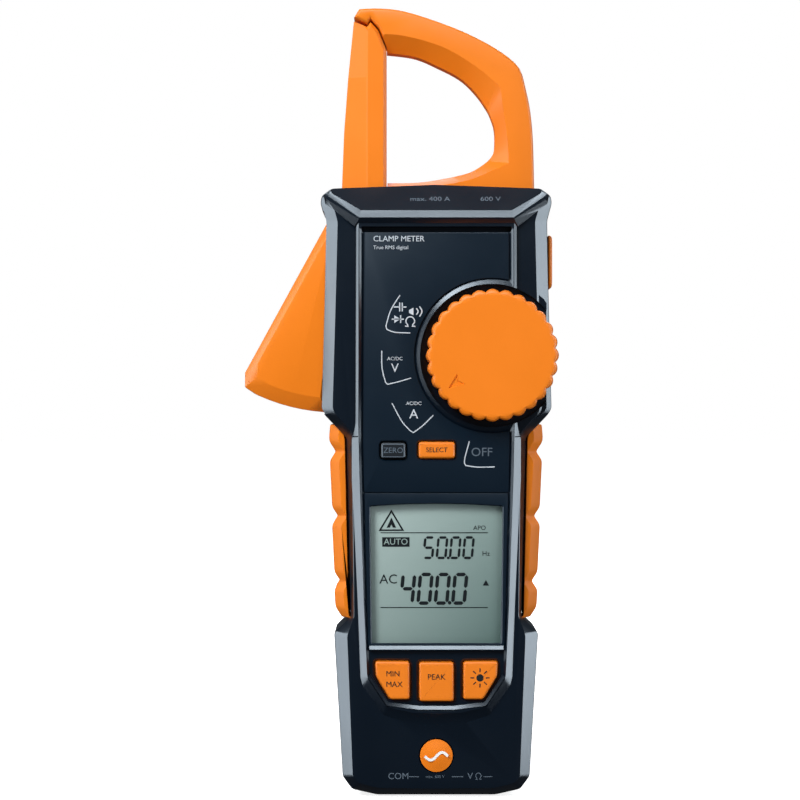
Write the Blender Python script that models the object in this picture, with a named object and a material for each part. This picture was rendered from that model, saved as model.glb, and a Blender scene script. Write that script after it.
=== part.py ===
"""Hook clamp meter with a retractable jaw arm, squeezed in by a side lever.

Every size below is in millimetres, and the makers scale it to Blender's metres.
X runs to the right of the front face, Y to the back and Z up towards the jaws.
The origin is the centre of the flat bottom end, between the two test sockets.
"""

import math

import bmesh
import bpy
from mathutils import Matrix

MM = 0.001
GAP = 0.3  # clearance between touching pieces

# Case, front to back
CASE_FRONT = -15.0
FRAME_FRONT = -17.0
HOOD_FRONT = -18.8
PANEL_FLOOR = -16.0
CAVITY_FRONT = -13.0
FRAME_CAVITY_FRONT = -14.2
CASE_BACK = 18.5
CAVITY_BACK = 16.5
WALL = 2.0
COVER_CHAMFER = 2.8
BACK_CHAMFER = 2.6
PARTING = 0.15  # half of the gap between the two covers

# Case, seen from the front
CASE_TOP = 192.6
HOOD_CREST = 183.7
SLOPE_END = -9.0
PANEL_TOP = 177.2
FRAME_BOTTOM = 22.2

# Jaws
JAW_HALF = 7.5
JAW_CHAMFER = 1.0
ARM_LEFT = -29.9
ARM_RIGHT = -15.7
ARM_FOOT = 175.0
HOOK_RIGHT = 31.2
HOOK_FOOT = 171.5
CORE_HALF = 4.3
CORE_WIDTH = 6.4

# Squeeze lever, which swings about its pin
LEVER_X = -31.3
LEVER_Z = 181.0
LEVER_FRONT = -11.5
LEVER_BACK = 14.4
LEVER_WALL = 2.0
LEVER_REACH = 60.5
LEVER_HUB = 2.6
LEVER_LEAN = -28.7  # the outer edge, in degrees from straight down
LEVER_RIGHT_SIDE = -4.0
PIN_RADIUS = 1.5
RUNNING = 0.15  # radial clearance of a pin in its hole

# Gear train: lever sector, pinion, gear and the rack of the arm
MODULE = 0.8
SECTOR_TEETH = 112
PINION_TEETH = 9
GEAR_TEETH = 24
RACK_PITCH_X = -1.3
RACK_LAYER = (10.1, 12.1)
SECTOR_LAYER = (12.4, LEVER_BACK)
FOOT_LAYER = (7.8, 9.8)
SECTOR_RADIUS = MODULE * SECTOR_TEETH / 2
PINION_RADIUS = MODULE * PINION_TEETH / 2
GEAR_RADIUS = MODULE * GEAR_TEETH / 2
GEAR_X = RACK_PITCH_X - GEAR_RADIUS
GEAR_Z = LEVER_Z - math.sqrt((SECTOR_RADIUS + PINION_RADIUS) ** 2 - (GEAR_X - LEVER_X) ** 2)
SHAFT_RADIUS = 1.2

# Rotary selector
DIAL_X = 17.3
DIAL_Z = 138.4
DIAL_RADIUS = 20.6
DIAL_SCALLOPS = 28
DIAL_FRONT = -25.5
POCKET_RADIUS = 22.3
POCKET_RIM = 24.1
POCKET_FLOOR = -13.0
POCKET_BACK = -11.6
HUB_RADIUS = 6.0
ROTOR_RADIUS = 13.0

# Display and keys
LENS_BOTTOM = 47.3
LENS_TOP = 95.3
WINDOW_HALF = 20.6
KEY_FRONT = -17.6
KEY_FLANGE = (-13.9, -13.2)
KEY_GAP = 0.35
BOARD_FRONT = -9.5
BOARD_BACK = -8.0

# Bottom end and battery bay
SOCKET_SPACING = 19.0
SOCKET_RADIUS = 5.6
SOCKET_DEPTH = 21.5
SLEEVE_RADIUS = 3.0
SLEEVE_BORE = 2.05
BATTERY_RADIUS = 5.2
BATTERY_BOTTOM = 29.0
BATTERY_LENGTH = 44.0
BATTERY_PITCH = 11.2
BATTERY_Y = 10.9
DOOR_HALF = 19.0
DOOR_BOTTOM = 24.5
DOOR_TOP = 86.0
DOOR_SCREW_Z = 81.5
BADGE_Z = 13.0
BADGE_RADIUS = 5.1
CASE_SCREWS = ((-23.5, 20.0), (23.5, 20.0), (-22.0, 112.0), (30.0, 163.0))
JAW_SCREWS = (17.5, 28.0)
JAW_SCREW_Z = 174.8
THREAD_RADIUS = 1.15
SCREW_CLEARANCE = 1.25
SCREW_SEAT = 2.5


# ---------------------------------------------------------------- scene, materials and finishing


def new_collection(name):
    made = bpy.data.collections.new(name)
    bpy.context.scene.collection.children.link(made)
    return made


def linear(channel):
    return channel / 12.92 if channel <= 0.04045 else ((channel + 0.055) / 1.055) ** 2.4


def plastic(name, hex_colour, roughness, metallic=0.0):
    made = bpy.data.materials.new(name)
    made.use_nodes = True
    shader = made.node_tree.nodes["Principled BSDF"]
    colour = [linear(int(hex_colour[i : i + 2], 16) / 255) for i in (0, 2, 4)]
    shader.inputs["Base Color"].default_value = (*colour, 1)
    shader.inputs["Roughness"].default_value = roughness
    shader.inputs["Metallic"].default_value = metallic
    return made


def keep(obj, name, material):
    """Names a finished piece, paints it and puts it in the meter's collection."""
    obj.name = name
    obj.data.name = name
    obj.data.materials.clear()
    obj.data.materials.append(material)
    obj.data.shade_smooth()
    obj.data.set_sharp_from_angle(angle=math.radians(35))
    move_to(obj, PARTS)
    return obj


def hang(axis_name, place, *names):
    """Parents the named pieces to an empty that stands on their joint's axis."""
    empty = bpy.data.objects.new(axis_name, None)
    empty.location = [c * MM for c in place]
    PARTS.objects.link(empty)
    for name in names:
        piece = bpy.data.objects[name]
        piece.data.transform(Matrix.Translation([-c * MM for c in place]))
        piece.parent = empty


def move_to(obj, target):
    for home in list(obj.users_collection):
        home.objects.unlink(obj)
    target.objects.link(obj)


def as_tool(obj):
    """A cutter or a lump that a Boolean adds: kept in the file, but not a part."""
    obj.hide_render = True
    obj.display_type = "WIRE"
    move_to(obj, TOOLS)
    return obj


def combine(target, operation, *tools):
    for tool in tools:
        modifier = target.modifiers.new(operation.lower() + "_" + tool.name, "BOOLEAN")
        modifier.operation = operation
        modifier.solver = "EXACT"
        modifier.object = as_tool(tool)
    return target


def cut(target, *tools):
    return combine(target, "DIFFERENCE", *tools)


def add(target, *tools):
    return combine(target, "UNION", *tools)


# ---------------------------------------------------------------- outlines


def arc(x, z, radius, start, end, steps):
    """Points along a circle, with angles in degrees from +X."""
    turns = [math.radians(start + (end - start) * i / steps) for i in range(steps + 1)]
    return [(x + radius * math.cos(t), z + radius * math.sin(t)) for t in turns]


def circle(x, z, radius, steps=24):
    return arc(x, z, radius, 0, 360 - 360 / steps, steps - 1)


def rectangle(left, right, bottom, top):
    return [(left, bottom), (right, bottom), (right, top), (left, top)]


def mirrored(right_half):
    """The whole outline from its right half, which runs from the top centre to the bottom centre."""
    left = [(-x, z) for x, z in reversed(right_half) if x > 0]
    return right_half + left


def signed_area(loop):
    ends = zip(loop, loop[1:] + loop[:1])
    return sum(a[0] * b[1] - b[0] * a[1] for a, b in ends) / 2


def grown(loop, distance):
    """The outline moved outwards by a distance, with mitred corners."""
    outward = distance if signed_area(loop) > 0 else -distance
    moved = []
    for i, here in enumerate(loop):
        before, after = loop[i - 1], loop[(i + 1) % len(loop)]
        first = unit(here[0] - before[0], here[1] - before[1])
        second = unit(after[0] - here[0], after[1] - here[1])
        across = (first[1] + second[1], -first[0] - second[0])
        share = outward * 2 / (across[0] ** 2 + across[1] ** 2)
        moved.append((here[0] + across[0] * share, here[1] + across[1] * share))
    return moved


def unit(x, z):
    length = math.hypot(x, z)
    return x / length, z / length


def rounded(loop, radius, steps=3):
    """The outline with each corner replaced by a short curve."""
    made = []
    for i, here in enumerate(loop):
        for other in (loop[i - 1], loop[(i + 1) % len(loop)]):
            length = math.dist(here, other)
            share = min(radius, length * 0.45) / length
            made.append((here[0] + (other[0] - here[0]) * share, here[1] + (other[1] - here[1]) * share))
    curved = []
    for i, here in enumerate(loop):
        start, end = made[2 * i], made[2 * i + 1]
        for k in range(steps + 1):
            t = k / steps
            first, middle, last = (1 - t) ** 2, 2 * t * (1 - t), t * t
            curved.append(tuple(first * a + middle * b + last * c for a, b, c in zip(start, here, end)))
    return curved


def smooth(points, steps=4):
    """A curve through the points, ends included."""
    padded = [points[0], *points, points[-1]]
    made = []
    for a, b, c, d in zip(padded, padded[1:], padded[2:], padded[3:]):
        for k in range(steps):
            t = k / steps
            made.append(tuple(catmull_rom(a[i], b[i], c[i], d[i], t) for i in (0, 1)))
    return made + [points[-1]]


def catmull_rom(a, b, c, d, t):
    return 0.5 * (2 * b + (c - a) * t + (2 * a - 5 * b + 4 * c - d) * t**2 + (3 * b - a - 3 * c + d) * t**3)


# ---------------------------------------------------------------- solid makers

AXES = {
    "X": Matrix(((0, 0, 1), (1, 0, 0), (0, 1, 0))),
    "Y": Matrix(((1, 0, 0), (0, 0, -1), (0, 1, 0))),
    "Z": Matrix.Identity(3),
}


def plate(name, loops, start, end, axis="Y", chamfer=0.0, back_chamfer=0.0):
    """Outlines filled and extruded from start to end along an axis; later loops are holes.

    The outline's points are (X, Z) for axis Y, (Y, Z) for axis X and (X, Y) for axis Z.
    A chamfer runs round the face at start, and a back chamfer round the face at end.
    """
    loops = [loops] if isinstance(loops[0][0], (int, float)) else loops
    curve = bpy.data.curves.new(name, "CURVE")
    curve.dimensions = "2D"
    curve.fill_mode = "BOTH"
    curve.extrude = (end - start) / 2 * MM
    for loop in loops:
        spline = curve.splines.new("POLY")
        spline.points.add(len(loop) - 1)
        spline.use_cyclic_u = True
        for point, (u, v) in zip(spline.points, loop):
            point.co = (u * MM, v * MM, 0, 1)
    guide = bpy.data.objects.new(name, curve)
    bpy.context.scene.collection.objects.link(guide)
    turn = AXES[axis].to_4x4()
    middle = [0.0, 0.0, 0.0]
    middle["XYZ".index(axis)] = (start + end) / 2 * MM
    obj = mesh_from(guide, Matrix.Translation(middle) @ turn)
    if chamfer or back_chamfer:
        bevel_ends(obj, axis, start, end, chamfer, back_chamfer)
    return obj


def mesh_from(guide, matrix):
    """The guide curve's solid as a welded mesh object, with the curve removed."""
    name = guide.name
    graph = bpy.context.evaluated_depsgraph_get()
    mesh = bpy.data.meshes.new_from_object(guide.evaluated_get(graph))
    mesh.transform(matrix)
    curve = guide.data
    bpy.data.objects.remove(guide)
    bpy.data.curves.remove(curve)
    obj = bpy.data.objects.new(name, mesh)
    bpy.context.scene.collection.objects.link(obj)
    shape = bmesh.new()
    shape.from_mesh(mesh)
    bmesh.ops.remove_doubles(shape, verts=shape.verts, dist=1e-6)
    bmesh.ops.dissolve_limit(shape, angle_limit=0.002, verts=shape.verts, edges=shape.edges)
    bmesh.ops.recalc_face_normals(shape, faces=shape.faces)
    shape.to_mesh(mesh)
    shape.free()
    return obj


def bevel_ends(obj, axis, start, end, chamfer, back_chamfer):
    """Chamfers the edges that lie in the start face and in the end face."""
    index = "XYZ".index(axis)
    for height, width in ((start, chamfer), (end, back_chamfer)):
        if not width:
            continue
        shape = bmesh.new()
        shape.from_mesh(obj.data)
        rim = [e for e in shape.edges if all(abs(v.co[index] - height * MM) < 1e-6 for v in e.verts)]
        bmesh.ops.bevel(shape, geom=rim, offset=width * MM, segments=1, affect="EDGES", clamp_overlap=True)
        bmesh.ops.recalc_face_normals(shape, faces=shape.faces)
        shape.to_mesh(obj.data)
        shape.free()


def rod(name, x, z, radius, start, end, steps=24, axis="Y", chamfer=0.0, back_chamfer=0.0):
    return plate(name, circle(x, z, radius, steps), start, end, axis, chamfer, back_chamfer)


def box(name, x, y, z):
    """A box from (low, high) pairs."""
    bpy.ops.mesh.primitive_cube_add(size=1, location=[(low + high) / 2 * MM for low, high in (x, y, z)])
    obj = bpy.context.object
    obj.name = name
    obj.data.transform(Matrix.Diagonal([(high - low) * MM for low, high in (x, y, z)] + [1]))
    return obj


def gear_teeth(x, z, teeth, first, count, module=MODULE):
    """Points of count teeth of a gear, anticlockwise; first is the first tooth's middle, in radians."""
    pitch_radius = module * teeth / 2
    made = []
    for k in range(count):
        middle = first + 2 * math.pi * k / teeth
        for side, reach, half in tooth_corners(module):
            radius = pitch_radius + reach
            angle = middle + side * half / pitch_radius
            made.append((x + radius * math.cos(angle), z + radius * math.sin(angle)))
    return made


def tooth_corners(module):
    """(side, reach past the pitch line, half width) of a tooth's four corners, in order."""
    tip, root = (0.7 * module, 0.30 * module), (-0.95 * module, 0.86 * module)
    return ((-1, root[0], root[1]), (-1, *tip), (1, *tip), (1, root[0], root[1]))


def lever_point(reach, lean):
    """The point at a distance from the lever's pin, at an angle in degrees from straight down."""
    turn = math.radians(lean)
    return LEVER_X + reach * math.sin(turn), LEVER_Z - reach * math.cos(turn)


def lever_edge(offset, along):
    """A point beside the lever's outer edge line: offset outwards from the pin, and along it downwards."""
    turn = math.radians(LEVER_LEAN)
    x = LEVER_X - offset * math.cos(turn) + along * math.sin(turn)
    z = LEVER_Z - offset * math.sin(turn) - along * math.cos(turn)
    return x, z


# ---------------------------------------------------------------- outlines of the meter

CASE = mirrored(
    [
        (0, CASE_TOP),
        (33.0, 191.3),
        (36.1, 189.0),
        (36.5, 186.6),
        (35.0, 181.0),
        (35.4, 160.0),
        (36.4, 121.8),
        (35.2, 119.8),
        (28.3, 112.6),
        (26.9, 56.2),
        (32.3, 51.2),
        (29.5, 5.8),
        (26.5, 1.8),
        (18.7, 0),
        (0, 0),
    ]
)
FRAME = mirrored(
    [
        (0, 182.0),
        (24.6, 182.0),
        (24.9, 150.0),
        (26.6, 112.0),
        (25.7, 76.0),
        (23.6, 36.5),
        (16.7, 25.6),
        (8.5, 22.9),
        (0, FRAME_BOTTOM),
    ]
)
PANEL = mirrored(
    [
        (0, PANEL_TOP),
        (23.8, PANEL_TOP),
        (24.1, 112.0),
        (23.2, 76.0),
        (21.3, 37.5),
        (15.8, 29.0),
        (0, 28.2),
    ]
)
HOOD = mirrored([(0, 192.2), (32.6, 190.9), (35.6, 188.4), (34.6, 186.4), (24.3, 179.7), (0, 179.7)])

ARM_TOP = [(-15.7, 235.4), (-18.4, 241.9), (-20.7, 244.4), (-21.9, 242.9), (-26.1, 244.9)]
ARM = [
    (ARM_LEFT, ARM_FOOT),
    (ARM_RIGHT, ARM_FOOT),
    *ARM_TOP,
    (-27.9, 226.9),
    (-29.2, 209.5),
    (ARM_LEFT, 191.3),
]
ARM_CORE = [(-27.0, 177.5), (-18.6, 177.5), (-18.6, 233.0), (-20.2, 238.6), (-23.6, 240.0), (-24.6, 226.0)]

WINDOW = smooth(
    [
        (-15.6, 235.9),
        (-3.0, 232.5),
        (9.0, 226.0),
        (17.0, 215.8),
        (18.9, 207.6),
        (15.9, 200.2),
        (6.0, 195.8),
        (-15.3, 193.9),
    ]
)
HOOK_BACK = smooth(
    [
        (HOOK_RIGHT, 191.3),
        (30.7, 207.0),
        (28.7, 223.0),
        (24.4, 232.2),
        (12.0, 239.9),
        (-3.5, 246.0),
        (-19.2, 248.9),
        (-24.6, 248.6),
    ]
)
HOOK = [
    (-26.0, 245.7),
    (-21.8, 243.7),
    (-20.7, 245.2),
    (-18.1, 242.4),
    *WINDOW,
    (-15.3, HOOK_FOOT),
    (HOOK_RIGHT, HOOK_FOOT),
    *HOOK_BACK,
]
CORE_LEG_Z = 181.5
CORE_PATH_OUTER = [(-16.5, 245.3), (-5.0, 243.3), (6.0, 239.4), (17.5, 233.6), (25.4, 226.5), (28.2, 207.0)]
CORE_PATH_INNER = [(21.8, 207.0), (20.4, 219.0), (12.0, 228.2), (1.5, 233.9), (-12.5, 238.4)]
HOOK_CORE = [
    *smooth(CORE_PATH_OUTER, 2),
    (28.2, CORE_LEG_Z - CORE_WIDTH / 2),
    (-11.5, CORE_LEG_Z - CORE_WIDTH / 2),
    (-11.5, CORE_LEG_Z + CORE_WIDTH / 2),
    (21.8, CORE_LEG_Z + CORE_WIDTH / 2),
    *smooth(CORE_PATH_INNER, 2),
]
COIL_X = (0.0, 12.0)
COIL_Z = (CORE_LEG_Z - 5.0, CORE_LEG_Z + 5.0)

SIDE_KEY = [(19.2, 42.8), (8.4, 42.7), (8.4, 30.9), (14.6, 30.9), (19.0, 38.2)]
KEYS = {
    "zero_key": rectangle(-17.4, -9.6, 106.2, 111.2),
    "select_key": rectangle(-5.6, 5.8, 106.3, 111.4),
    "min_max_key": [(-x, z) for x, z in SIDE_KEY],
    "peak_key": rectangle(-5.4, 5.4, 30.3, 42.5),
    "light_key": SIDE_KEY,
}
GRIP_NOTCHES = (108.2, 87.8, 67.2)


# ---------------------------------------------------------------- covers


def make_front_cover(material):
    body = plate("front_cover", CASE, CASE_FRONT, -PARTING, chamfer=COVER_CHAMFER)
    add(
        body,
        plate("frame_lump", FRAME, FRAME_FRONT, -12.0, chamfer=1.5),
        plate("hood_lump", HOOD, HOOD_FRONT, -11.0, chamfer=0.8),
    )
    slope = [
        (-30.0, HOOD_CREST - 10.0),
        (HOOD_FRONT - 1.0, HOOD_CREST - 1.0),
        (SLOPE_END, CASE_TOP + 0.4),
        (SLOPE_END, 200.0),
        (-30.0, 200.0),
    ]
    cut(
        body,
        plate("hood_slope", slope, -50.0, 50.0, axis="X"),
        plate("panel_recess", PANEL, -25.0, PANEL_FLOOR),
        plate("front_cavity", grown(CASE, -WALL), CAVITY_FRONT, 5.0),
        plate("frame_cavity", grown(below(FRAME, 172.0), -1.6), FRAME_CAVITY_FRONT, 5.0),
    )
    add(
        body,
        plate("dial_rim", left_of(circle(DIAL_X, DIAL_Z, POCKET_RIM, 56), 24.4), -16.9, POCKET_BACK),
        plate("dial_floor", left_of(circle(DIAL_X, DIAL_Z, POCKET_RIM, 56), 35.0), -14.6, POCKET_BACK),
        rod("pin_boss_front", LEVER_X, LEVER_Z, 2.4, -14.0, LEVER_FRONT - GAP, 16),
        *[rod("front_boss", x, z, 2.6, -14.5, -PARTING, 16) for x, z in CASE_SCREWS],
    )
    cut(
        body,
        rod("dial_pocket", DIAL_X, DIAL_Z, POCKET_RADIUS, -30.0, POCKET_FLOOR, 56),
        rod("dial_hole", DIAL_X, DIAL_Z, HUB_RADIUS + 0.4, -20.0, -5.0, 32),
        rod("front_pin_hole", LEVER_X, LEVER_Z, PIN_RADIUS + RUNNING, -13.6, -5.0, 16),
        plate("lcd_opening", rectangle(-WINDOW_HALF, WINDOW_HALF, 49.0, 92.6), -20.0, -5.0),
        rod("badge_seat", 0, BADGE_Z, BADGE_RADIUS + 0.25, -20.0, -14.6, 32),
        *[plate("key_hole", grown(outline, KEY_GAP), -20.0, -5.0) for outline in KEYS.values()],
        *[rod("thread_hole", x, z, THREAD_RADIUS, -10.0, 5.0, 12) for x, z in CASE_SCREWS],
        *case_openings(),
    )
    return keep(body, "front_cover", material)


def make_rear_cover(material):
    body = plate("rear_cover", CASE, PARTING, CASE_BACK, back_chamfer=BACK_CHAMFER)
    cut(body, plate("rear_cavity", grown(CASE, -WALL), -5.0, CAVITY_BACK))
    add(
        body,
        rod("gear_boss", GEAR_X, GEAR_Z, 2.6, LEVER_BACK + GAP, 17.5, 16),
        rod("pin_boss_rear", LEVER_X, LEVER_Z, 2.4, LEVER_BACK + GAP, 17.5, 16),
        *[rod("rear_boss", x, z, 2.8, PARTING, 17.5, 16) for x, z in CASE_SCREWS],
    )
    door = rectangle(-DOOR_HALF - GAP, DOOR_HALF + GAP, DOOR_BOTTOM - GAP, DOOR_TOP + GAP)
    cut(
        body,
        rod("shaft_hole", GEAR_X, GEAR_Z, SHAFT_RADIUS + RUNNING, 5.0, 17.2, 16),
        rod("rear_pin_hole", LEVER_X, LEVER_Z, PIN_RADIUS + RUNNING, 5.0, 16.9, 16),
        plate("battery_opening", door, 14.0, 25.0),
        *[rod("screw_hole", x, z, SCREW_CLEARANCE, -5.0, 25.0, 12) for x, z in CASE_SCREWS],
        *[rod("screw_seat", x, z, SCREW_SEAT, 15.6, 25.0, 20) for x, z in CASE_SCREWS],
        *case_openings(),
    )
    return keep(body, "rear_cover", material)


def case_openings():
    """The openings that both covers share: for the jaws, the lever and the test sockets."""
    jaw = (ARM_LEFT - 0.4, HOOK_RIGHT + 0.4)
    half = JAW_HALF + 0.4
    return (
        box("jaw_opening", jaw, (-half, half), (170.0, 200.0)),
        box("lever_slot", (-45.0, -32.0), (LEVER_FRONT - GAP, LEVER_BACK + GAP), (120.1, 184.0)),
        box("socket_opening", (-16.9, 16.9), (-8.3, 8.3), (-5.0, 5.0)),
    )


def below(loop, top):
    return [(x, min(z, top)) for x, z in loop]


def left_of(loop, right):
    return [(min(x, right), z) for x, z in loop]


def make_grip(side, material):
    """A soft pad over the waist of the case, with notches for the fingers."""
    outer = [(33.8, 117.4), (33.9, 113.0)]
    for z in GRIP_NOTCHES:
        edge = 33.9 - (113.0 - z) * 0.032
        outer += [(edge, z + 2.2), (edge - 2.3, z), (edge, z - 2.2)]
    outline = [*outer, (32.1, 59.0), (29.6, 55.2), (27.3, 56.6), (28.7, 112.4)]
    outline = [(side * x, z) for x, z in outline]
    name = "left_grip" if side < 0 else "right_grip"
    return keep(plate(name, outline, -10.8, 13.4, chamfer=0.9, back_chamfer=0.9), name, material)


def make_face_parts(plain, clear, grey):
    face = mirrored([(0, 176.8), (23.4, 176.8), (23.7, 112.0), (23.3, LENS_TOP + GAP), (0, LENS_TOP + GAP)])
    face_plate = plate("face_plate", face, -16.7, -16.2)
    upper_keys = (KEYS["zero_key"], KEYS["select_key"])
    cut(
        face_plate,
        rod("face_dial_hole", DIAL_X, DIAL_Z, POCKET_RIM + GAP, -20.0, -10.0, 56),
        *[plate("face_key_hole", grown(outline, KEY_GAP), -20.0, -10.0) for outline in upper_keys],
    )
    keep(face_plate, "face_plate", plain)
    sides = [(23.3, LENS_TOP), (22.8, 70.0), (21.7, LENS_BOTTOM + 0.5)]
    lens = mirrored([(0, LENS_TOP), *sides, (0, LENS_BOTTOM)])
    keep(plate("display_lens", lens, -16.7, -16.2), "display_lens", clear)
    badge = rod("badge", 0, BADGE_Z, BADGE_RADIUS, -15.5, -14.9, 32, chamfer=0.25)
    keep(badge, "badge", grey)


def make_display(glass, white, dark):
    screen = rectangle(-21.0, 21.0, 47.4, 94.0)
    keep(plate("lcd_glass", screen, -13.9, -12.3), "lcd_glass", glass)
    keep(plate("backlight", screen, -12.0, -10.6), "backlight", white)
    ring = [rectangle(-22.1, 22.1, 46.0, 95.4), rectangle(-21.3, 21.3, 47.1, 94.3)]
    keep(plate("lcd_frame", ring, -13.9, -10.6), "lcd_frame", dark)


def make_keys(orange, dark, rubber):
    for name, outline in KEYS.items():
        cap = plate(name, rounded(outline, 0.8, 2), KEY_FRONT, KEY_FLANGE[1], chamfer=0.4)
        add(cap, plate(name + "_flange", grown(outline, 1.0), *KEY_FLANGE))
        keep(cap, name, dark if name == "zero_key" else orange)
    mats = {
        "key_mat_upper": rectangle(-18.5, 7.0, 104.8, 112.8),
        "key_mat_lower": rectangle(-20.4, 20.4, 29.2, 43.8),
    }
    for name, outline in mats.items():
        keep(plate(name, outline, -11.9, -10.9), name, rubber)


# ---------------------------------------------------------------- jaws


def halves(front_name, rear_name):
    """(name, start, end, axis, chamfer, back chamfer) of a jaw's front shell and rear shell."""
    front = (front_name, -JAW_HALF, -PARTING, "Y", JAW_CHAMFER, 0.0)
    rear = (rear_name, PARTING, JAW_HALF, "Y", 0.0, JAW_CHAMFER)
    return front, rear


def make_hook(orange, steel, copper):
    """The fixed jaw: two shells round a laminated core, with the pick-up coil on its lower leg."""
    pocket = grown(HOOK_CORE, 0.35)
    coil_room = rectangle(COIL_X[0] - 0.4, COIL_X[1] + 0.4, COIL_Z[0] - 0.4, COIL_Z[1] + 0.4)
    depth = CORE_HALF + 0.3
    for name, *ends_and_chamfers in halves("hook_front_shell", "hook_rear_shell"):
        shell = plate(name, HOOK, *ends_and_chamfers)
        cut(
            shell,
            plate(name + "_core_room", pocket, -depth, depth),
            plate(name + "_coil_room", coil_room, -6.4, 6.4),
            *[rod(name + "_screw_hole", x, JAW_SCREW_Z, 1.35, -6.0, 10.0, 12) for x in JAW_SCREWS],
        )
        keep(shell, name, orange)
    keep(plate("hook_core", HOOK_CORE, -CORE_HALF, CORE_HALF), "hook_core", steel)
    inner = CORE_WIDTH / 2 + GAP
    coil = [rectangle(-6.0, 6.0, *COIL_Z)]
    coil.append(rectangle(-CORE_HALF - GAP, CORE_HALF + GAP, CORE_LEG_Z - inner, CORE_LEG_Z + inner))
    keep(plate("pickup_coil", coil, *COIL_X, axis="X"), "pickup_coil", copper)
    for number, x in enumerate(JAW_SCREWS, 1):
        make_screw(f"jaw_screw_{number}", x, JAW_SCREW_Z, 7.8, 9.4, -5.6, steel)


def make_arm(orange, steel, nylon):
    """The jaw arm that slides into the case, its core, and the rack that drives it."""
    pocket = grown(ARM_CORE, 0.35)
    depth = CORE_HALF + 0.3
    for name, *ends_and_chamfers in halves("arm_front_shell", "arm_rear_shell"):
        shell = plate(name, ARM, *ends_and_chamfers)
        cut(shell, plate(name + "_core_room", pocket, -depth, depth))
        keep(shell, name, orange)
    keep(plate("arm_core", ARM_CORE, -CORE_HALF, CORE_HALF), "arm_core", steel)
    pitch = math.pi * MODULE
    back = RACK_PITCH_X + 3.2
    low, high = GEAR_Z - 3.2, 187.0
    first = math.ceil((low + 1.2 - GEAR_Z) / pitch - 0.5)
    last = math.floor((high - 1.2 - GEAR_Z) / pitch - 0.5)
    teeth = []
    for k in range(first, last + 1):
        middle = GEAR_Z + (k + 0.5) * pitch
        for side, reach, half in tooth_corners(MODULE):
            teeth.append((RACK_PITCH_X - reach, middle + side * half))
    root = RACK_PITCH_X + 0.95 * MODULE
    bar = plate("arm_rack", [(back, high), (back, low), (root, low), *teeth, (root, high)], *RACK_LAYER)
    add(
        bar,
        box("rack_link", (back - 2.2, back), (9.0, RACK_LAYER[1] - 0.4), (177.0, 186.6)),
        box("rack_foot", (-27.0, back - 0.2), FOOT_LAYER, (176.6, 186.4)),
    )
    keep(bar, "arm_rack", nylon)


# ---------------------------------------------------------------- lever and gears


def make_lever(orange, steel, spring_steel):
    tip_lean = LEVER_LEAN - math.degrees(math.asin(LEVER_HUB / LEVER_REACH))
    swing = tip_lean - LEVER_RIGHT_SIDE
    bottom = [lever_point(LEVER_REACH, LEVER_RIGHT_SIDE + swing * i / 8) for i in range(8)]
    corner = [lever_point(LEVER_REACH - 0.6, tip_lean + 2.0), lever_edge(LEVER_HUB, LEVER_REACH - 4.5)]
    hub = arc(LEVER_X, LEVER_Z, LEVER_HUB, 180 + LEVER_LEAN, LEVER_RIGHT_SIDE, 8)
    outline = hub + bottom + corner
    lever = plate("squeeze_lever", outline, LEVER_FRONT, LEVER_BACK, chamfer=1.6, back_chamfer=1.2)
    inside = LEVER_REACH - 2.4
    room = [lever_edge(0.2, -8.0), lever_edge(0.2, inside)]
    room += [lever_point(inside, LEVER_LEAN + 2 + (12 - LEVER_LEAN - 2) * i / 8) for i in range(9)]
    room.append((LEVER_X + 12.0, LEVER_Z + 8.0))
    cut(lever, plate("lever_room", room, LEVER_FRONT + LEVER_WALL, SECTOR_LAYER[0]))
    ears = ((LEVER_FRONT + 0.1, LEVER_FRONT + LEVER_WALL - 0.1), (SECTOR_LAYER[0] + 0.1, LEVER_BACK - 0.1))
    add(
        lever,
        plate("lever_sector", sector_outline(), *ears[1]),
        *[rod("lever_ear", LEVER_X, LEVER_Z, LEVER_HUB - 0.05, *ear, 16) for ear in ears],
    )
    cut(
        lever,
        rod("lever_pin_hole", LEVER_X, LEVER_Z, PIN_RADIUS + RUNNING, -20.0, 25.0, 16),
        rod("spring_room", LEVER_X, LEVER_Z, 3.0, LEVER_FRONT + LEVER_WALL - 0.02, -7.6, 16),
    )
    keep(lever, "squeeze_lever", orange)
    keep(rod("lever_pin_front", LEVER_X, LEVER_Z, PIN_RADIUS, -13.4, -8.6, 16), "lever_pin_front", steel)
    keep(rod("lever_pin_rear", LEVER_X, LEVER_Z, PIN_RADIUS, 11.8, 16.6, 16), "lever_pin_rear", steel)
    make_return_spring(spring_steel)


def sector_outline():
    """The toothed arc of the lever, in mesh with the pinion at rest and over the whole squeeze."""
    towards_gear = math.atan2(GEAR_Z - LEVER_Z, GEAR_X - LEVER_X)
    step = 2 * math.pi / SECTOR_TEETH
    before, after = 9, 1
    teeth = gear_teeth(LEVER_X, LEVER_Z, SECTOR_TEETH, towards_gear - before * step, before + after + 1)
    start = math.degrees(towards_gear - (before + 0.9) * step)
    end = math.degrees(towards_gear + (after + 0.9) * step)
    inner = arc(LEVER_X, LEVER_Z, 33.0, end, start - 6.0, 6)
    return teeth + inner


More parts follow.
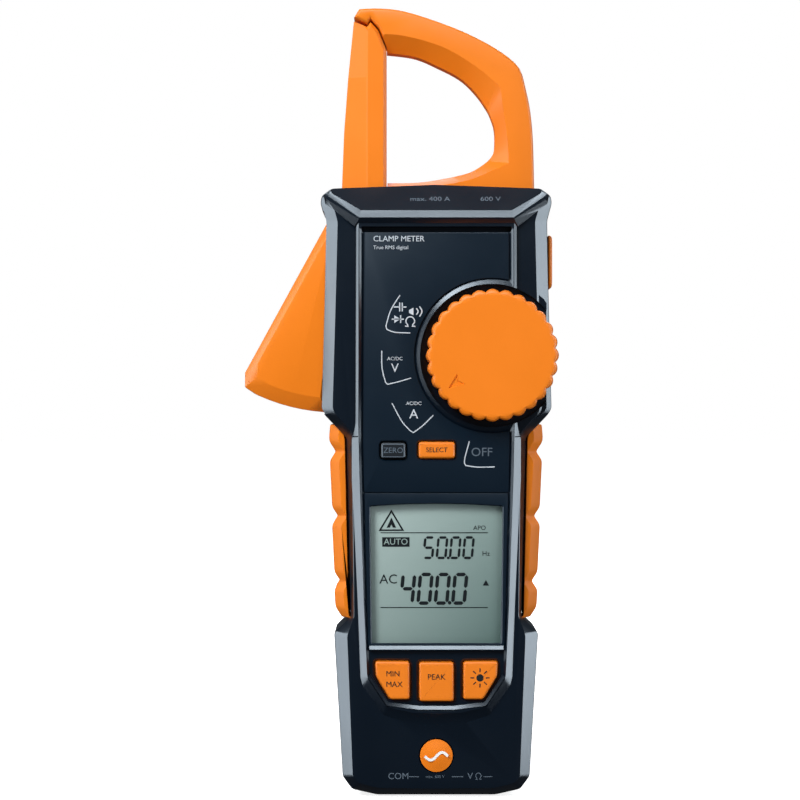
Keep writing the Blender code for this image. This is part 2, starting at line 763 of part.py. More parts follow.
def make_return_spring(material):
    """A torsion spring wound on the front pin, with one leg up into the case and one along the lever."""
    wire, radius, turns, steps = 0.4, 2.15, 2, 12
    start, rise = -8.95, 0.9 / (turns * steps)
    points = [(LEVER_X + 1.5, start, LEVER_Z + 7.0)]
    for i in range(turns * steps + 4):
        turn = -2 * math.pi * i / steps
        x, z = LEVER_X + radius * math.cos(turn), LEVER_Z + radius * math.sin(turn)
        points.append((x, start + rise * i, z))
    foot_x, foot_z = lever_edge(-0.6, 9.0)
    points.append((foot_x, start + rise * (turns * steps + 4), foot_z))
    curve = bpy.data.curves.new("return_spring", "CURVE")
    curve.dimensions = "3D"
    curve.bevel_depth = wire / 2 * MM
    curve.bevel_resolution = 1
    curve.use_fill_caps = True
    spline = curve.splines.new("POLY")
    spline.points.add(len(points) - 1)
    for point, place in zip(spline.points, points):
        point.co = (*[c * MM for c in place], 1)
    guide = bpy.data.objects.new("return_spring", curve)
    bpy.context.scene.collection.objects.link(guide)
    keep(mesh_from(guide, Matrix.Identity(4)), "return_spring", material)


def make_gear(nylon, steel):
    towards_lever = math.atan2(LEVER_Z - GEAR_Z, LEVER_X - GEAR_X)
    pinion = gear_teeth(GEAR_X, GEAR_Z, PINION_TEETH, towards_lever + math.pi / PINION_TEETH, PINION_TEETH)
    wheel = gear_teeth(GEAR_X, GEAR_Z, GEAR_TEETH, 0.0, GEAR_TEETH)
    gear = plate("compound_gear", wheel, *RACK_LAYER)
    add(gear, plate("pinion_lump", pinion, RACK_LAYER[1] - 0.6, SECTOR_LAYER[1]))
    cut(gear, rod("gear_bore", GEAR_X, GEAR_Z, SHAFT_RADIUS + RUNNING, 5.0, 20.0, 16))
    keep(gear, "compound_gear", nylon)
    keep(rod("gear_shaft", GEAR_X, GEAR_Z, SHAFT_RADIUS, RACK_LAYER[0] + 0.1, 16.9, 16), "gear_shaft", steel)


# ---------------------------------------------------------------- selector


def scallops(radius, depth, count, per_bump):
    """A circle with rounded bumps and narrow valleys between them."""
    made = []
    for i in range(count * per_bump):
        turn = 2 * math.pi * i / (count * per_bump)
        dip = depth * (1 - abs(math.cos(count * turn / 2)))
        made.append((DIAL_X + (radius - dip) * math.cos(turn), DIAL_Z + (radius - dip) * math.sin(turn)))
    return made


def make_dial(orange, nylon, brass, steel):
    outline = scallops(DIAL_RADIUS, 0.9, DIAL_SCALLOPS, 4)
    knob = plate("dial_knob", outline, DIAL_FRONT, POCKET_FLOOR - GAP, chamfer=0.8)
    add(knob, rod("knob_hub", DIAL_X, DIAL_Z, HUB_RADIUS, POCKET_FLOOR - 1.0, POCKET_BACK + 0.15, 32))
    cut(knob, rod("knob_thread", DIAL_X, DIAL_Z, THREAD_RADIUS, -18.0, -5.0, 12))
    keep(knob, "dial_knob", orange)
    notched = scallops(ROTOR_RADIUS, 0.6, 12, 6)
    rotor = plate("dial_rotor", [notched, circle(DIAL_X, DIAL_Z, 1.3, 12)], -11.3, -10.4)
    keep(rotor, "dial_rotor", nylon)
    wiper = [circle(DIAL_X, DIAL_Z, 10.5, 32), circle(DIAL_X, DIAL_Z, 7.0, 32)]
    keep(plate("dial_wiper", wiper, -10.2, -9.8), "dial_wiper", brass)
    make_screw("dial_screw", DIAL_X, DIAL_Z, -10.2, -8.8, -17.0, steel)
    reach = DIAL_X - ROTOR_RADIUS - 0.4
    leaf = [(1.2, 128), (2.0, 128), (2.9, 136.6), (reach, DIAL_Z)]
    leaf += [(2.9, 140.2), (2.0, 149), (1.2, 149), (2.1, DIAL_Z)]
    keep(plate("detent_spring", leaf, -11.3, -10.5), "detent_spring", steel)


def make_screw(name, x, z, under_head, top, tip, material, radius=1.0, head=2.3):
    """A pan-head screw whose head faces the back, with a slot across it."""
    screw = rod(name, x, z, head, under_head, top, 20, back_chamfer=0.3)
    add(screw, rod(name + "_shank", x, z, radius, tip, under_head + 0.2, 12))
    cut(screw, box(name + "_slot", (x - 0.4, x + 0.4), (top - 0.6, top + 1.0), (z - 1.5, z + 1.5)))
    return keep(screw, name, material)


# ---------------------------------------------------------------- inside the case


def make_board(green, dark):
    outline = [
        (-24.2, 30.0),
        (24.2, 30.0),
        (24.4, 112.0),
        (28.0, 124.0),
        (28.0, 157.0),
        (24.0, 168.0),
        (-5.5, 168.0),
        (-5.5, 117.0),
        (-18.8, 117.0),
        (-18.8, 106.0),
        (-24.2, 106.0),
    ]
    board = plate("circuit_board", [outline, circle(DIAL_X, DIAL_Z, 4.2, 20)], BOARD_FRONT, BOARD_BACK)
    keep(board, "circuit_board", green)
    keep(rod("buzzer", 12.0, 99.0, 6.0, BOARD_BACK + GAP, -2.7, 24, back_chamfer=0.5), "buzzer", dark)
    chip = plate("processor_chip", rectangle(-9.0, 1.0, 84.0, 94.0), BOARD_BACK + GAP, -6.3)
    keep(chip, "processor_chip", dark)


def make_sockets(dark, brass):
    """Two recessed test sockets moulded in one block; its flat end is the meter's foot."""
    block = plate("socket_block", rounded(rectangle(-16.6, 16.6, -8.0, 8.0), 3.0), 0.0, 24.0, axis="Z")
    for name, x in (("socket_sleeve_com", -SOCKET_SPACING / 2), ("socket_sleeve_volt", SOCKET_SPACING / 2)):
        cut(
            block,
            rod(name + "_recess", x, 0, SOCKET_RADIUS, -5.0, SOCKET_DEPTH, 28, axis="Z"),
            rod(name + "_exit", x, 0, SLEEVE_RADIUS + 0.2, 10.0, 30.0, 20, axis="Z"),
        )
        loops = [circle(x, 0, SLEEVE_RADIUS, 20), circle(x, 0, SLEEVE_BORE, 20)]
        keep(plate(name, loops, 8.5, 26.0, axis="Z"), name, brass)
    keep(block, "socket_block", dark)


def make_battery_bay(dark, cell, steel):
    floor = plate("battery_tray", rectangle(-18.2, 18.2, 26.4, 84.4), 3.6, 5.2)
    add(
        floor,
        box("tray_low_wall", (-18.2, 18.2), (4.0, 15.8), (26.4, 27.4)),
        box("tray_high_wall", (-18.2, 18.2), (4.0, 15.8), (75.8, 76.8)),
        rod("door_boss", 0, DOOR_SCREW_Z, 2.5, 4.0, 15.8, 16),
    )
    cut(floor, rod("door_thread", 0, DOOR_SCREW_Z, THREAD_RADIUS, 8.0, 20.0, 12))
    keep(floor, "battery_tray", dark)
    for number, x in enumerate((-BATTERY_PITCH, 0.0, BATTERY_PITCH), 1):
        name = f"battery_{number}"
        top = BATTERY_BOTTOM + BATTERY_LENGTH
        battery = rod(name, x, BATTERY_Y, BATTERY_RADIUS, BATTERY_BOTTOM, top, 20, "Z", 0.5, 0.5)
        add(battery, rod(name + "_nub", x, BATTERY_Y, 1.9, top - 1.0, top + 0.8, 12, "Z"))
        keep(battery, name, cell)
    for name, z in (("battery_contact_low", (27.7, 28.6)), ("battery_contact_high", (74.2, 75.2))):
        keep(box(name, (-17.0, 17.0), (6.0, 15.6), z), name, steel)


def make_battery_door(dark, steel):
    outline = rounded(rectangle(-DOOR_HALF, DOOR_HALF, DOOR_BOTTOM, DOOR_TOP), 2.5)
    door = plate("battery_door", outline, 16.6, CASE_BACK, back_chamfer=0.4)
    cut(
        door,
        rod("door_screw_hole", 0, DOOR_SCREW_Z, 1.3, 10.0, 25.0, 12),
        rod("door_screw_seat", 0, DOOR_SCREW_Z, 2.6, 17.3, 25.0, 20),
        *[box("finger_rib", (-9.0, 9.0), (CASE_BACK - 0.6, 25.0), (z, z + 1.0)) for z in (28.0, 30.5, 33.0)],
    )
    keep(door, "battery_door", dark)
    make_screw("door_screw", 0, DOOR_SCREW_Z, 17.5, 18.4, 9.0, steel)


def make_finger_rest(material):
    outline = rounded(rectangle(-6.0, 8.0, 160.0, 177.0), 3.0)
    keep(plate("finger_rest", outline, 35.8, 37.0, axis="X", back_chamfer=0.5), "finger_rest", material)


# ---------------------------------------------------------------- the meter

for leftover in list(bpy.data.objects):
    bpy.data.objects.remove(leftover)
PARTS = new_collection("clamp_meter")
TOOLS = new_collection("cutters")

case_plastic = plastic("case_plastic", "1E2A36", 0.45)
jaw_plastic = plastic("jaw_plastic", "F58A1F", 0.42)
grip_rubber = plastic("grip_rubber", "F7922E", 0.6)
key_rubber = plastic("key_rubber", "F7872A", 0.5)
face_film = plastic("face_film", "22303C", 0.4)
dark_plastic = plastic("dark_plastic", "15191E", 0.5)
clear_plastic = plastic("clear_plastic", "B9C6BF", 0.08)
display_glass = plastic("display_glass", "8FA39B", 0.25)
white_plastic = plastic("white_plastic", "E6E6E0", 0.5)
board_green = plastic("board_green", "1F5A3A", 0.5)
silicone = plastic("silicone", "9A9A96", 0.7)
nylon_white = plastic("nylon", "E4DFD2", 0.5)
steel_bright = plastic("steel", "A9ABAD", 0.35, 1.0)
core_steel = plastic("core_steel", "5E6063", 0.5, 1.0)
copper_wire = plastic("copper_wire", "B0622F", 0.4, 1.0)
brass_plate = plastic("brass", "C9A24B", 0.3, 1.0)
cell_label = plastic("cell_label", "3C4650", 0.4, 0.6)
badge_metal = plastic("badge_metal", "F0902C", 0.35)

make_front_cover(case_plastic)
make_rear_cover(case_plastic)
for hand in (-1, 1):
    make_grip(hand, grip_rubber)
make_finger_rest(grip_rubber)
make_face_parts(face_film, clear_plastic, badge_metal)
make_display(display_glass, white_plastic, dark_plastic)
make_keys(key_rubber, dark_plastic, silicone)
make_hook(jaw_plastic, core_steel, copper_wire)
make_arm(jaw_plastic, core_steel, nylon_white)
make_lever(jaw_plastic, steel_bright, steel_bright)
make_gear(nylon_white, steel_bright)
make_dial(jaw_plastic, nylon_white, brass_plate, steel_bright)
make_board(board_green, dark_plastic)
make_sockets(dark_plastic, brass_plate)
make_battery_bay(dark_plastic, cell_label, steel_bright)
make_battery_door(case_plastic, steel_bright)
for screw_number, (screw_x, screw_z) in enumerate(CASE_SCREWS, 1):
    make_screw(f"case_screw_{screw_number}", screw_x, screw_z, 15.8, 17.4, -9.4, steel_bright)

hang("lever_axis", (LEVER_X, 0, LEVER_Z), "squeeze_lever", "return_spring")
hang("gear_axis", (GEAR_X, 0, GEAR_Z), "compound_gear")
hang("dial_axis", (DIAL_X, 0, DIAL_Z), "dial_knob", "dial_rotor", "dial_wiper", "dial_screw")
ARM_PIECES = ("arm_front_shell", "arm_rear_shell", "arm_core", "arm_rack")
hang("arm_axis", ((ARM_LEFT + ARM_RIGHT) / 2, 0, ARM_FOOT), *ARM_PIECES)
hang("door_axis", (0, CASE_BACK, (DOOR_BOTTOM + DOOR_TOP) / 2), "battery_door", "door_screw")
for key_name, key_outline in KEYS.items():
    centre = [sum(values) / len(key_outline) for values in zip(*key_outline)]
    hang(key_name + "_axis", (centre[0], KEY_FRONT, centre[1]), key_name)
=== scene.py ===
"""Looks of the hook clamp meter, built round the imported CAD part.

The builders take millimetres and scale them to metres: X to the right of the face,
Y to the back and Z up towards the jaws, with the origin at the bottom end.
"""

import math

import bmesh
import bpy
from mathutils import Matrix, Vector


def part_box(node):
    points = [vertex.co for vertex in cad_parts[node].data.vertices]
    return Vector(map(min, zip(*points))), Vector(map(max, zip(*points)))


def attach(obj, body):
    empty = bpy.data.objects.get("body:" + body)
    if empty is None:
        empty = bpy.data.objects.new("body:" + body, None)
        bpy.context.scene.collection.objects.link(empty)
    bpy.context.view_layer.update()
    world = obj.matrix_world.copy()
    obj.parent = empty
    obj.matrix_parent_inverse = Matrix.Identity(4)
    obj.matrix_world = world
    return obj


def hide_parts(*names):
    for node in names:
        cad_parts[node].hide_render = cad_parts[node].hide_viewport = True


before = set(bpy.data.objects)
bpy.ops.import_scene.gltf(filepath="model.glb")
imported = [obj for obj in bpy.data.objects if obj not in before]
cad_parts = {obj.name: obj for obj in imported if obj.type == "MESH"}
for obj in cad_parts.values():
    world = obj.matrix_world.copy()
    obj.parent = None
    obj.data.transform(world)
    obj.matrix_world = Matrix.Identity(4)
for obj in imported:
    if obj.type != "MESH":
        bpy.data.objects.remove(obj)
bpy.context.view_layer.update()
MM = 0.001

# Case depths, from the face to the back
SIDE_START = -11.3
FACE = -15.3
RIDGE = -17.2
HOOD_RIM = -18.7
HOOD_CREST = -17.45
HOOD_LEAN = 0.35
PANEL_FLOOR = -16.0
PRINT = -16.72
PARTING = 0.15
BACK = 18.5

# The height at which the waist widens into the head
HEAD_START = 113.0

# The selector and its well
DIAL = (17.3, 138.4)
DIAL_RADIUS = 20.6
DIAL_SCALLOPS = 28
DIAL_FRONT = -25.4
WELL_RADIUS = 22.4
WELL_RIM = 24.2
WELL_FLOOR = -13.0

LEVER_PIN = (-31.3, 181.0)
LEVER_LEAN = math.radians(-28.7)
LEVER_REACH = 60.5

# How wide the slow changes of tint and gloss are on a moulded surface
DRIFT_SIZE = 18.0


# ---------------------------------------------------------------- outlines


def mirrored(half):
    """A closed outline from its right half, which runs from the top centre to the bottom centre."""
    return half + [(-x, z) for x, z in reversed(half) if x > 0]


def oval(x, z, radius, count=48):
    turns = [2 * math.pi * i / count for i in range(count)]
    return [(x + radius * math.cos(t), z + radius * math.sin(t)) for t in turns]


def rectangle(left, right, bottom, top):
    return [(left, bottom), (right, bottom), (right, top), (left, top)]


def mix(a, b, share):
    return tuple(p + (q - p) * share for p, q in zip(a, b))


def eased(loop, radius, steps=4):
    """The outline with its corners rounded; each corner gives the same number of points."""
    made = []
    for i, here in enumerate(loop):
        ends = []
        for other in (loop[i - 1], loop[(i + 1) % len(loop)]):
            length = math.dist(here, other) or 1.0
            ends.append(mix(here, other, min(radius, length * 0.45) / length))
        for k in range(steps + 1):
            t = k / steps
            made.append(mix(mix(ends[0], here, t), mix(here, ends[1], t), t))
    return made


def curve_through(points, count):
    """A count of points evenly spread along a smooth curve through the given ones."""
    padded = [points[0], *points, points[-1]]
    fine = []
    for a, b, c, d in zip(padded, padded[1:], padded[2:], padded[3:]):
        for k in range(12):
            t = k / 12
            fine.append(tuple(spline(a[i], b[i], c[i], d[i], t) for i in (0, 1)))
    fine.append(points[-1])
    walked = [0.0]
    for a, b in zip(fine, fine[1:]):
        walked.append(walked[-1] + math.dist(a, b))
    made = []
    for k in range(count):
        goal = walked[-1] * k / (count - 1)
        i = min(next(j for j, w in enumerate(walked) if w >= goal - 1e-9), len(fine) - 1)
        span = walked[i] - walked[i - 1] if i else 1.0
        made.append(mix(fine[max(i - 1, 0)], fine[i], 1 - (walked[i] - goal) / span if i else 0))
    return made


def spline(a, b, c, d, t):
    bend = (2 * a - 5 * b + 4 * c - d) * t * t + (3 * b - a - 3 * c + d) * t**3
    return 0.5 * (2 * b + (c - a) * t + bend)


def area(loop):
    return sum(a[0] * b[1] - b[0] * a[1] for a, b in zip(loop, loop[1:] + loop[:1])) / 2


def grown(loop, distance):
    """The outline moved outwards, with mitred corners."""
    side = distance if area(loop) > 0 else -distance
    made = []
    for i, here in enumerate(loop):
        before, after = loop[i - 1], loop[(i + 1) % len(loop)]
        first = Vector(here) - Vector(before)
        second = Vector(after) - Vector(here)
        across = Vector((first.normalized() + second.normalized()))
        size = across.length_squared or 1.0
        made.append((here[0] + across.y * side * 2 / size, here[1] - across.x * side * 2 / size))
    return made


# ---------------------------------------------------------------- mesh makers


def put(name, mesh):
    piece = bpy.data.objects.new(name, mesh)
    bpy.context.scene.collection.objects.link(piece)
    return piece


def skin(name, levels):
    """A closed piece from outlines of the same count at rising depths: (depth, outline)."""
    count = len(levels[0][1])
    points = [(x * MM, y * MM, z * MM) for y, loop in levels for x, z in loop]
    faces = [tuple(range(count)), tuple(reversed(range(len(points) - count, len(points))))]
    for level in range(len(levels) - 1):
        low = level * count
        for i in range(count):
            j = (i + 1) % count
            faces.append((low + i, low + count + i, low + count + j, low + j))
    mesh = bpy.data.meshes.new(name)
    mesh.from_pydata(points, [], faces)
    shape = bmesh.new()
    shape.from_mesh(mesh)
    bmesh.ops.remove_doubles(shape, verts=shape.verts, dist=1e-6)
    bmesh.ops.dissolve_degenerate(shape, edges=shape.edges, dist=1e-7)
    bmesh.ops.recalc_face_normals(shape, faces=shape.faces)
    shape.to_mesh(mesh)
    shape.free()
    return put(name, mesh)


def slab(name, loop, front, back, edge=0.0, back_edge=0.0, steps=3):
    """An outline given a thickness, with its front and back edges rounded over."""
    levels = []
    for k in range(steps + 1 if edge else 1):
        turn = math.pi / 2 * k / steps
        depth = front + edge * (1 - math.cos(turn))
        levels.append((depth, grown(loop, edge * (math.sin(turn) - 1))))
    for k in reversed(range(steps + 1 if back_edge else 1)):
        turn = math.pi / 2 * k / steps
        depth = back - back_edge * (1 - math.cos(turn))
        levels.append((depth, grown(loop, back_edge * (math.sin(turn) - 1))))
    return skin(name, levels)


def flared(name, loop, front, floor, lip=0.5):
    """A cutter for a pocket from far in front down to its floor, with a widened mouth at the front."""
    mouth = grown(loop, lip)
    return skin(name, [(front - 6.0, mouth), (front - 0.01, mouth), (front + lip, loop), (floor, loop)])


def copied(name, node):
    """A fresh piece with the shape of a CAD node."""
    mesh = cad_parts[node].data.copy()
    shape = bmesh.new()
    shape.from_mesh(mesh)
    bmesh.ops.remove_doubles(shape, verts=shape.verts, dist=1e-6)
    bmesh.ops.dissolve_limit(shape, angle_limit=0.01, verts=shape.verts, edges=shape.edges)
    shape.to_mesh(mesh)
    shape.free()
    return put(name, mesh)


def carve(piece, operation, *tools):
    """Cuts, joins or trims a piece with others, which are then removed."""
    for tool in tools:
        change = piece.modifiers.new("carve", "BOOLEAN")
        change.operation = operation
        change.solver = "EXACT"
        change.object = tool
        settle(piece)
        bpy.data.objects.remove(tool)
    return piece


def settle(piece):
    """Makes a piece's modifiers part of its mesh."""
    graph = bpy.context.evaluated_depsgraph_get()
    mesh = bpy.data.meshes.new_from_object(piece.evaluated_get(graph))
    piece.modifiers.clear()
    piece.data = mesh
    return piece


def soften(piece, width, degrees=32, segments=2):
    """Rounds a piece's sharp edges."""
    bevel = piece.modifiers.new("soften", "BEVEL")
    bevel.width = width * MM
    bevel.segments = segments
    bevel.limit_method = "ANGLE"
    bevel.angle_limit = math.radians(degrees)
    bevel.use_clamp_overlap = True
    return settle(piece)


def finish_piece(piece, body, material, slot_name, *nodes, sharp=28):
    """Shades a piece, paints it, and fixes it to its body in place of its CAD nodes."""
    piece.data.materials.clear()
    piece.data.materials.append(material)
    piece.data.shade_smooth()
    piece.data.set_sharp_from_angle(angle=math.radians(sharp))
    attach(piece, body)
    if nodes:
        piece.name = nodes[0] + "_look"
        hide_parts(*nodes)
    return piece


def box_cutter(name, x, y, z):
    return skin(name, [(y[0], rectangle(*x, *z)), (y[1], rectangle(*x, *z))])


# ---------------------------------------------------------------- materials


def linear(channel):
    return channel / 12.92 if channel <= 0.04045 else ((channel + 0.055) / 1.055) ** 2.4


def colour(hex_code):
    return (*[linear(int(hex_code[i : i + 2], 16) / 255) for i in (0, 2, 4)], 1.0)


def node(tree, kind, links=(), values=(), **settings):
    """Adds one shader node with its settings, the values of its inputs and the links into them."""
    made = tree.nodes.new(kind)
    for name, value in settings.items():
        setattr(made, name, value)
    for name, value in values:
        made.inputs[name].default_value = value
    for name, source in links:
        tree.links.new(source, made.inputs[name])
    return made


def finish(name, hex_code, rough, spread=0.06, grain=0.35, depth=0.02, shade=0.05, values=()):
    """A moulded or machined finish: a base colour that drifts a little, uneven gloss and a fine grain.

    grain is the size of the texture in millimetres and depth the height of its bumps.
    """
    made = bpy.data.materials.new(name)
    made.use_nodes = True
    tree = made.node_tree
    shader = tree.nodes["Principled BSDF"]
    for key, value in values:
        shader.inputs[key].default_value = value
    place = node(tree, "ShaderNodeTexCoord").outputs["Object"]
    drift = [("Scale", 1 / (DRIFT_SIZE * MM)), ("Detail", 4.0)]
    cloud = node(tree, "ShaderNodeTexNoise", [("Vector", place)], drift)
    texture = [("Scale", 1 / (grain * MM)), ("Detail", 2.0)]
    fine = node(tree, "ShaderNodeTexNoise", [("Vector", place)], texture)
    darker = tuple(c * (1 - 2 * shade) for c in colour(hex_code)[:3]) + (1.0,)
    tint = node(tree, "ShaderNodeMix", data_type="RGBA")
    tint.inputs["A"].default_value = darker
    tint.inputs["B"].default_value = colour(hex_code)
    tree.links.new(cloud.outputs["Fac"], tint.inputs["Factor"])
    tree.links.new(tint.outputs["Result"], shader.inputs["Base Color"])
    gloss = node(
        tree,
        "ShaderNodeMapRange",
        [("Value", cloud.outputs["Fac"])],
        [("To Min", rough - spread), ("To Max", rough + spread)],
    )
    tree.links.new(gloss.outputs["Result"], shader.inputs["Roughness"])
    bump = node(
        tree,
        "ShaderNodeBump",
        [("Height", fine.outputs["Fac"])],
        [("Strength", 0.5), ("Distance", depth * MM)],
    )
    tree.links.new(bump.outputs["Normal"], shader.inputs["Normal"])
    return made


def gloss(level):
    """How strongly a plastic reflects; a full surface gloss is 0.5."""
    return (("Specular IOR Level", level),)


# ABS, moulded with a fine spark texture: a satin navy that turns pale along its chamfers
NAVY = finish("abs_navy", "05121F", 0.3, grain=0.4, depth=0.012)
# Polycarbonate film, printed from behind: flatter and a little bluer than the case
FILM = finish("polycarbonate_film", "091A28", 0.36, grain=0.25, depth=0.006, values=gloss(0.3))
# Rubber-like TPE over the waist: matt, with a coarser grain
TPE = finish("tpe_orange", "F0800C", 0.6, grain=0.5, depth=0.02, values=gloss(0.15))
# ABS of jaws, lever and knob: a smooth, bright orange with soft reflections
ORANGE = finish("abs_orange", "F07F12", 0.44, grain=0.45, depth=0.012, values=gloss(0.2))
# Silicone rubber of the keys: matt, with a soft bright edge
KEY_ORANGE = finish("silicone_orange", "EE7E0C", 0.5, grain=0.3, depth=0.01, values=gloss(0.3))
KEY_DARK = finish("silicone_black", "10161D", 0.45, grain=0.3, depth=0.01)
# Screen-printing inks: flat and even, with no sheen of their own
WHITE_INK = finish("white_ink", "C3CBD2", 0.5, grain=0.2, depth=0.003, shade=0.02)
BADGE_INK = finish("white_enamel", "F2F4F5", 0.4, grain=0.2, depth=0.003, shade=0.02)
DARK_INK = finish("dark_ink", "0A1216", 0.5, grain=0.2, depth=0.003, shade=0.02)
GREY_INK = finish("grey_ink", "56636F", 0.5, grain=0.2, depth=0.003, shade=0.02)
# Polyamide of the gears and the blocks: waxy and a little uneven
NYLON = finish("nylon_white", "D9D5C8", 0.45, grain=0.5, depth=0.01)
BLACK_BLOCK = finish("nylon_black", "0B0E12", 0.5, grain=0.5, depth=0.012)
# Plated steel, bare laminations, enamelled wire and turned brass: bright, with fine tool marks
METAL = (("Metallic", 1.0),)
STEEL = finish("zinc_plated_steel", "B9BDC2", 0.3, grain=0.3, depth=0.008, values=METAL)
CORE_STEEL = finish("silicon_steel_laminations", "7C8085", 0.4, grain=0.3, depth=0.01, values=METAL)
COPPER = finish("enamelled_copper", "B4622C", 0.3, grain=0.3, depth=0.02, values=METAL)
BRASS = finish("brass", "C9A24A", 0.25, grain=0.3, depth=0.008, values=METAL)
# Fibreglass under green lacquer, potting epoxy, the pale light guide and the printed sleeve of a cell
BOARD = finish("fibreglass_board", "1D5A34", 0.35, grain=0.8, depth=0.01)
SILICON = finish("epoxy_black", "15171A", 0.4, grain=0.3, depth=0.01)
DIFFUSER = finish("acrylic_white", "E9ECEC", 0.4, grain=0.5, depth=0.005)
CELL = finish("cell_sleeve", "2B3F5C", 0.3, grain=0.6, depth=0.006)


def display_glass():
    """Reflective display: a grey-green with painted shade, pale at the upper left where the light falls and
    darker towards the lower right.
    """
    made = finish("display_glass", "A9B8B4", 0.3, grain=0.3, depth=0.002)
    tree = made.node_tree
    shader = tree.nodes["Principled BSDF"]
    low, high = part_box("lcd_glass")
    place = node(tree, "ShaderNodeTexCoord").outputs["Object"]
    parts = node(tree, "ShaderNodeSeparateXYZ", [("Vector", place)])
    across = node(
        tree,
        "ShaderNodeMapRange",
        [("Value", parts.outputs["X"])],
        [("From Min", low.x), ("From Max", high.x), ("To Min", 0.0), ("To Max", 0.55)],
    )
    down = node(
        tree,
        "ShaderNodeMapRange",
        [("Value", parts.outputs["Z"])],
        [("From Min", high.z), ("From Max", low.z), ("To Min", 0.0), ("To Max", 0.45)],
    )
    both = node(tree, "ShaderNodeMath", operation="ADD")
    tree.links.new(across.outputs["Result"], both.inputs[0])
    tree.links.new(down.outputs["Result"], both.inputs[1])
    # Painted shade and reflection: the colour runs from a pale grey-green at the upper left to a darker one
    # at the lower right
    tint = node(tree, "ShaderNodeMix", data_type="RGBA")
    tint.inputs["A"].default_value = colour("BACEC9")
    tint.inputs["B"].default_value = colour("6C8782")
    tree.links.new(both.outputs["Value"], tint.inputs["Factor"])
    tree.links.new(tint.outputs["Result"], shader.inputs["Base Color"])
    return made


PAINTED_SHADE_GLASS = display_glass()


def clear_window():
    """Clear polycarbonate: it lets the display show and adds a faint gloss."""
    made = bpy.data.materials.new("polycarbonate_clear")
    made.use_nodes = True
    tree = made.node_tree
    shader = tree.nodes["Principled BSDF"]
    shader.inputs["Base Color"].default_value = colour("0A0C0D")
    shader.inputs["Roughness"].default_value = 0.08
    through = node(tree, "ShaderNodeBsdfTransparent")
    facing = node(tree, "ShaderNodeLayerWeight", values=[("Blend", 0.2)])
    share = node(
        tree,
        "ShaderNodeMapRange",
        [("Value", facing.outputs["Facing"])],
        [("To Min", 0.04), ("To Max", 0.4)],
    )
    scratches = node(
        tree,
        "ShaderNodeTexNoise",
        [("Vector", node(tree, "ShaderNodeTexCoord").outputs["Object"])],
        [("Scale", 1 / (0.6 * MM))],
    )
    bump = node(
        tree,
        "ShaderNodeBump",
        [("Height", scratches.outputs["Fac"])],
        [("Strength", 0.1), ("Distance", 0.002 * MM)],
    )
    tree.links.new(bump.outputs["Normal"], shader.inputs["Normal"])
    both = node(tree, "ShaderNodeMixShader", [("Fac", share.outputs["Result"])])
    tree.links.new(through.outputs["BSDF"], both.inputs[1])
    tree.links.new(shader.outputs["BSDF"], both.inputs[2])
    tree.links.new(both.outputs["Shader"], tree.nodes["Material Output"].inputs["Surface"])
    return made


CLEAR = clear_window()


# ---------------------------------------------------------------- the two covers

# Each corner of the case on its side wall, and where its chamfer meets the flat face
CORNERS = [
    ((0, 192.5), (0, 189.4)),
    ((33.0, 191.2), (30.3, 188.4)),
    ((36.1, 188.9), (31.8, 186.6)),
    ((36.5, 186.6), (31.9, 184.6)),
    ((35.0, 181.0), (30.7, 180.4)),
    ((35.4, 160.0), (31.2, 160.0)),
    ((36.4, 121.8), (32.3, 121.9)),
    ((35.2, 119.8), (31.6, 120.2)),
    ((28.3, 112.6), (26.4, 114.6)),
    ((26.9, 56.2), (25.8, 56.6)),
    ((32.2, 51.2), (27.7, 50.6)),
    ((29.5, 5.8), (26.0, 6.4)),
    ((26.5, 1.8), (24.0, 4.4)),
    ((18.7, 0.05), (17.6, 3.0)),
    ((0, 0.05), (0, 2.8)),
]
WALL_LINE = mirrored([outer for outer, _ in CORNERS])
FACE_LINE = mirrored([inner for _, inner in CORNERS])
FRAME_FOOT = mirrored(
    [
        (0, 184.0),
        (25.2, 184.0),
        (25.4, 117.0),
        (26.5, 112.5),
        (26.5, 99.5),
        (24.8, 62.0),
        (23.9, 37.5),
        (23.2, 34.8),
        (16.7, 25.6),
        (8.5, 22.9),
        (0, 22.2),
    ]
)
FRAME_TOP = mirrored(
    [
        (0, 184.0),
        (24.5, 184.0),
        (24.6, 117.0),
        (24.5, 112.5),
        (24.2, 99.5),
        (22.9, 62.0),
        (21.8, 38.0),
        (21.3, 36.9),
        (15.6, 28.4),
        (8.0, 26.6),
        (0, 26.2),
    ]
)
PANEL_RIM = mirrored(
    [
        (0, 178.5),
        (24.1, 178.5),
        (24.2, 112.0),
        (22.8, 62.0),
        (21.7, 38.2),
        (15.5, 28.9),
        (5.4, 27.2),
        (0, 27.2),
    ]
)
PANEL_EDGE = mirrored(
    [
        (0, 177.2),
        (22.9, 177.2),
        (23.1, 112.0),
        (21.9, 62.0),
        (20.9, 38.2),
        (15.2, 29.6),
        (5.4, 28.4),
        (0, 28.4),
    ]
)
SIDE_KEY = [(19.2, 42.8), (8.4, 42.7), (8.4, 30.9), (14.6, 30.9), (19.0, 38.2)]
KEYS = {
    "zero_key": rectangle(-17.4, -9.6, 106.2, 111.2),
    "select_key": rectangle(-5.6, 5.8, 106.3, 111.4),
    "min_max_key": [(-x, z) for x, z in SIDE_KEY],
    "peak_key": rectangle(-5.4, 5.4, 30.3, 42.5),
    "light_key": SIDE_KEY,
}
WINDOW_TOP = [(20.7, 91.2), (10.4, 91.8), (0, 92.0), (-10.4, 91.8), (-20.7, 91.2)]
WINDOW = [(-20.2, 48.4), (20.2, 48.4), *WINDOW_TOP]
CASE_SCREWS = ((-23.5, 20.0), (23.5, 20.0), (-22.0, 112.0), (30.0, 163.0))


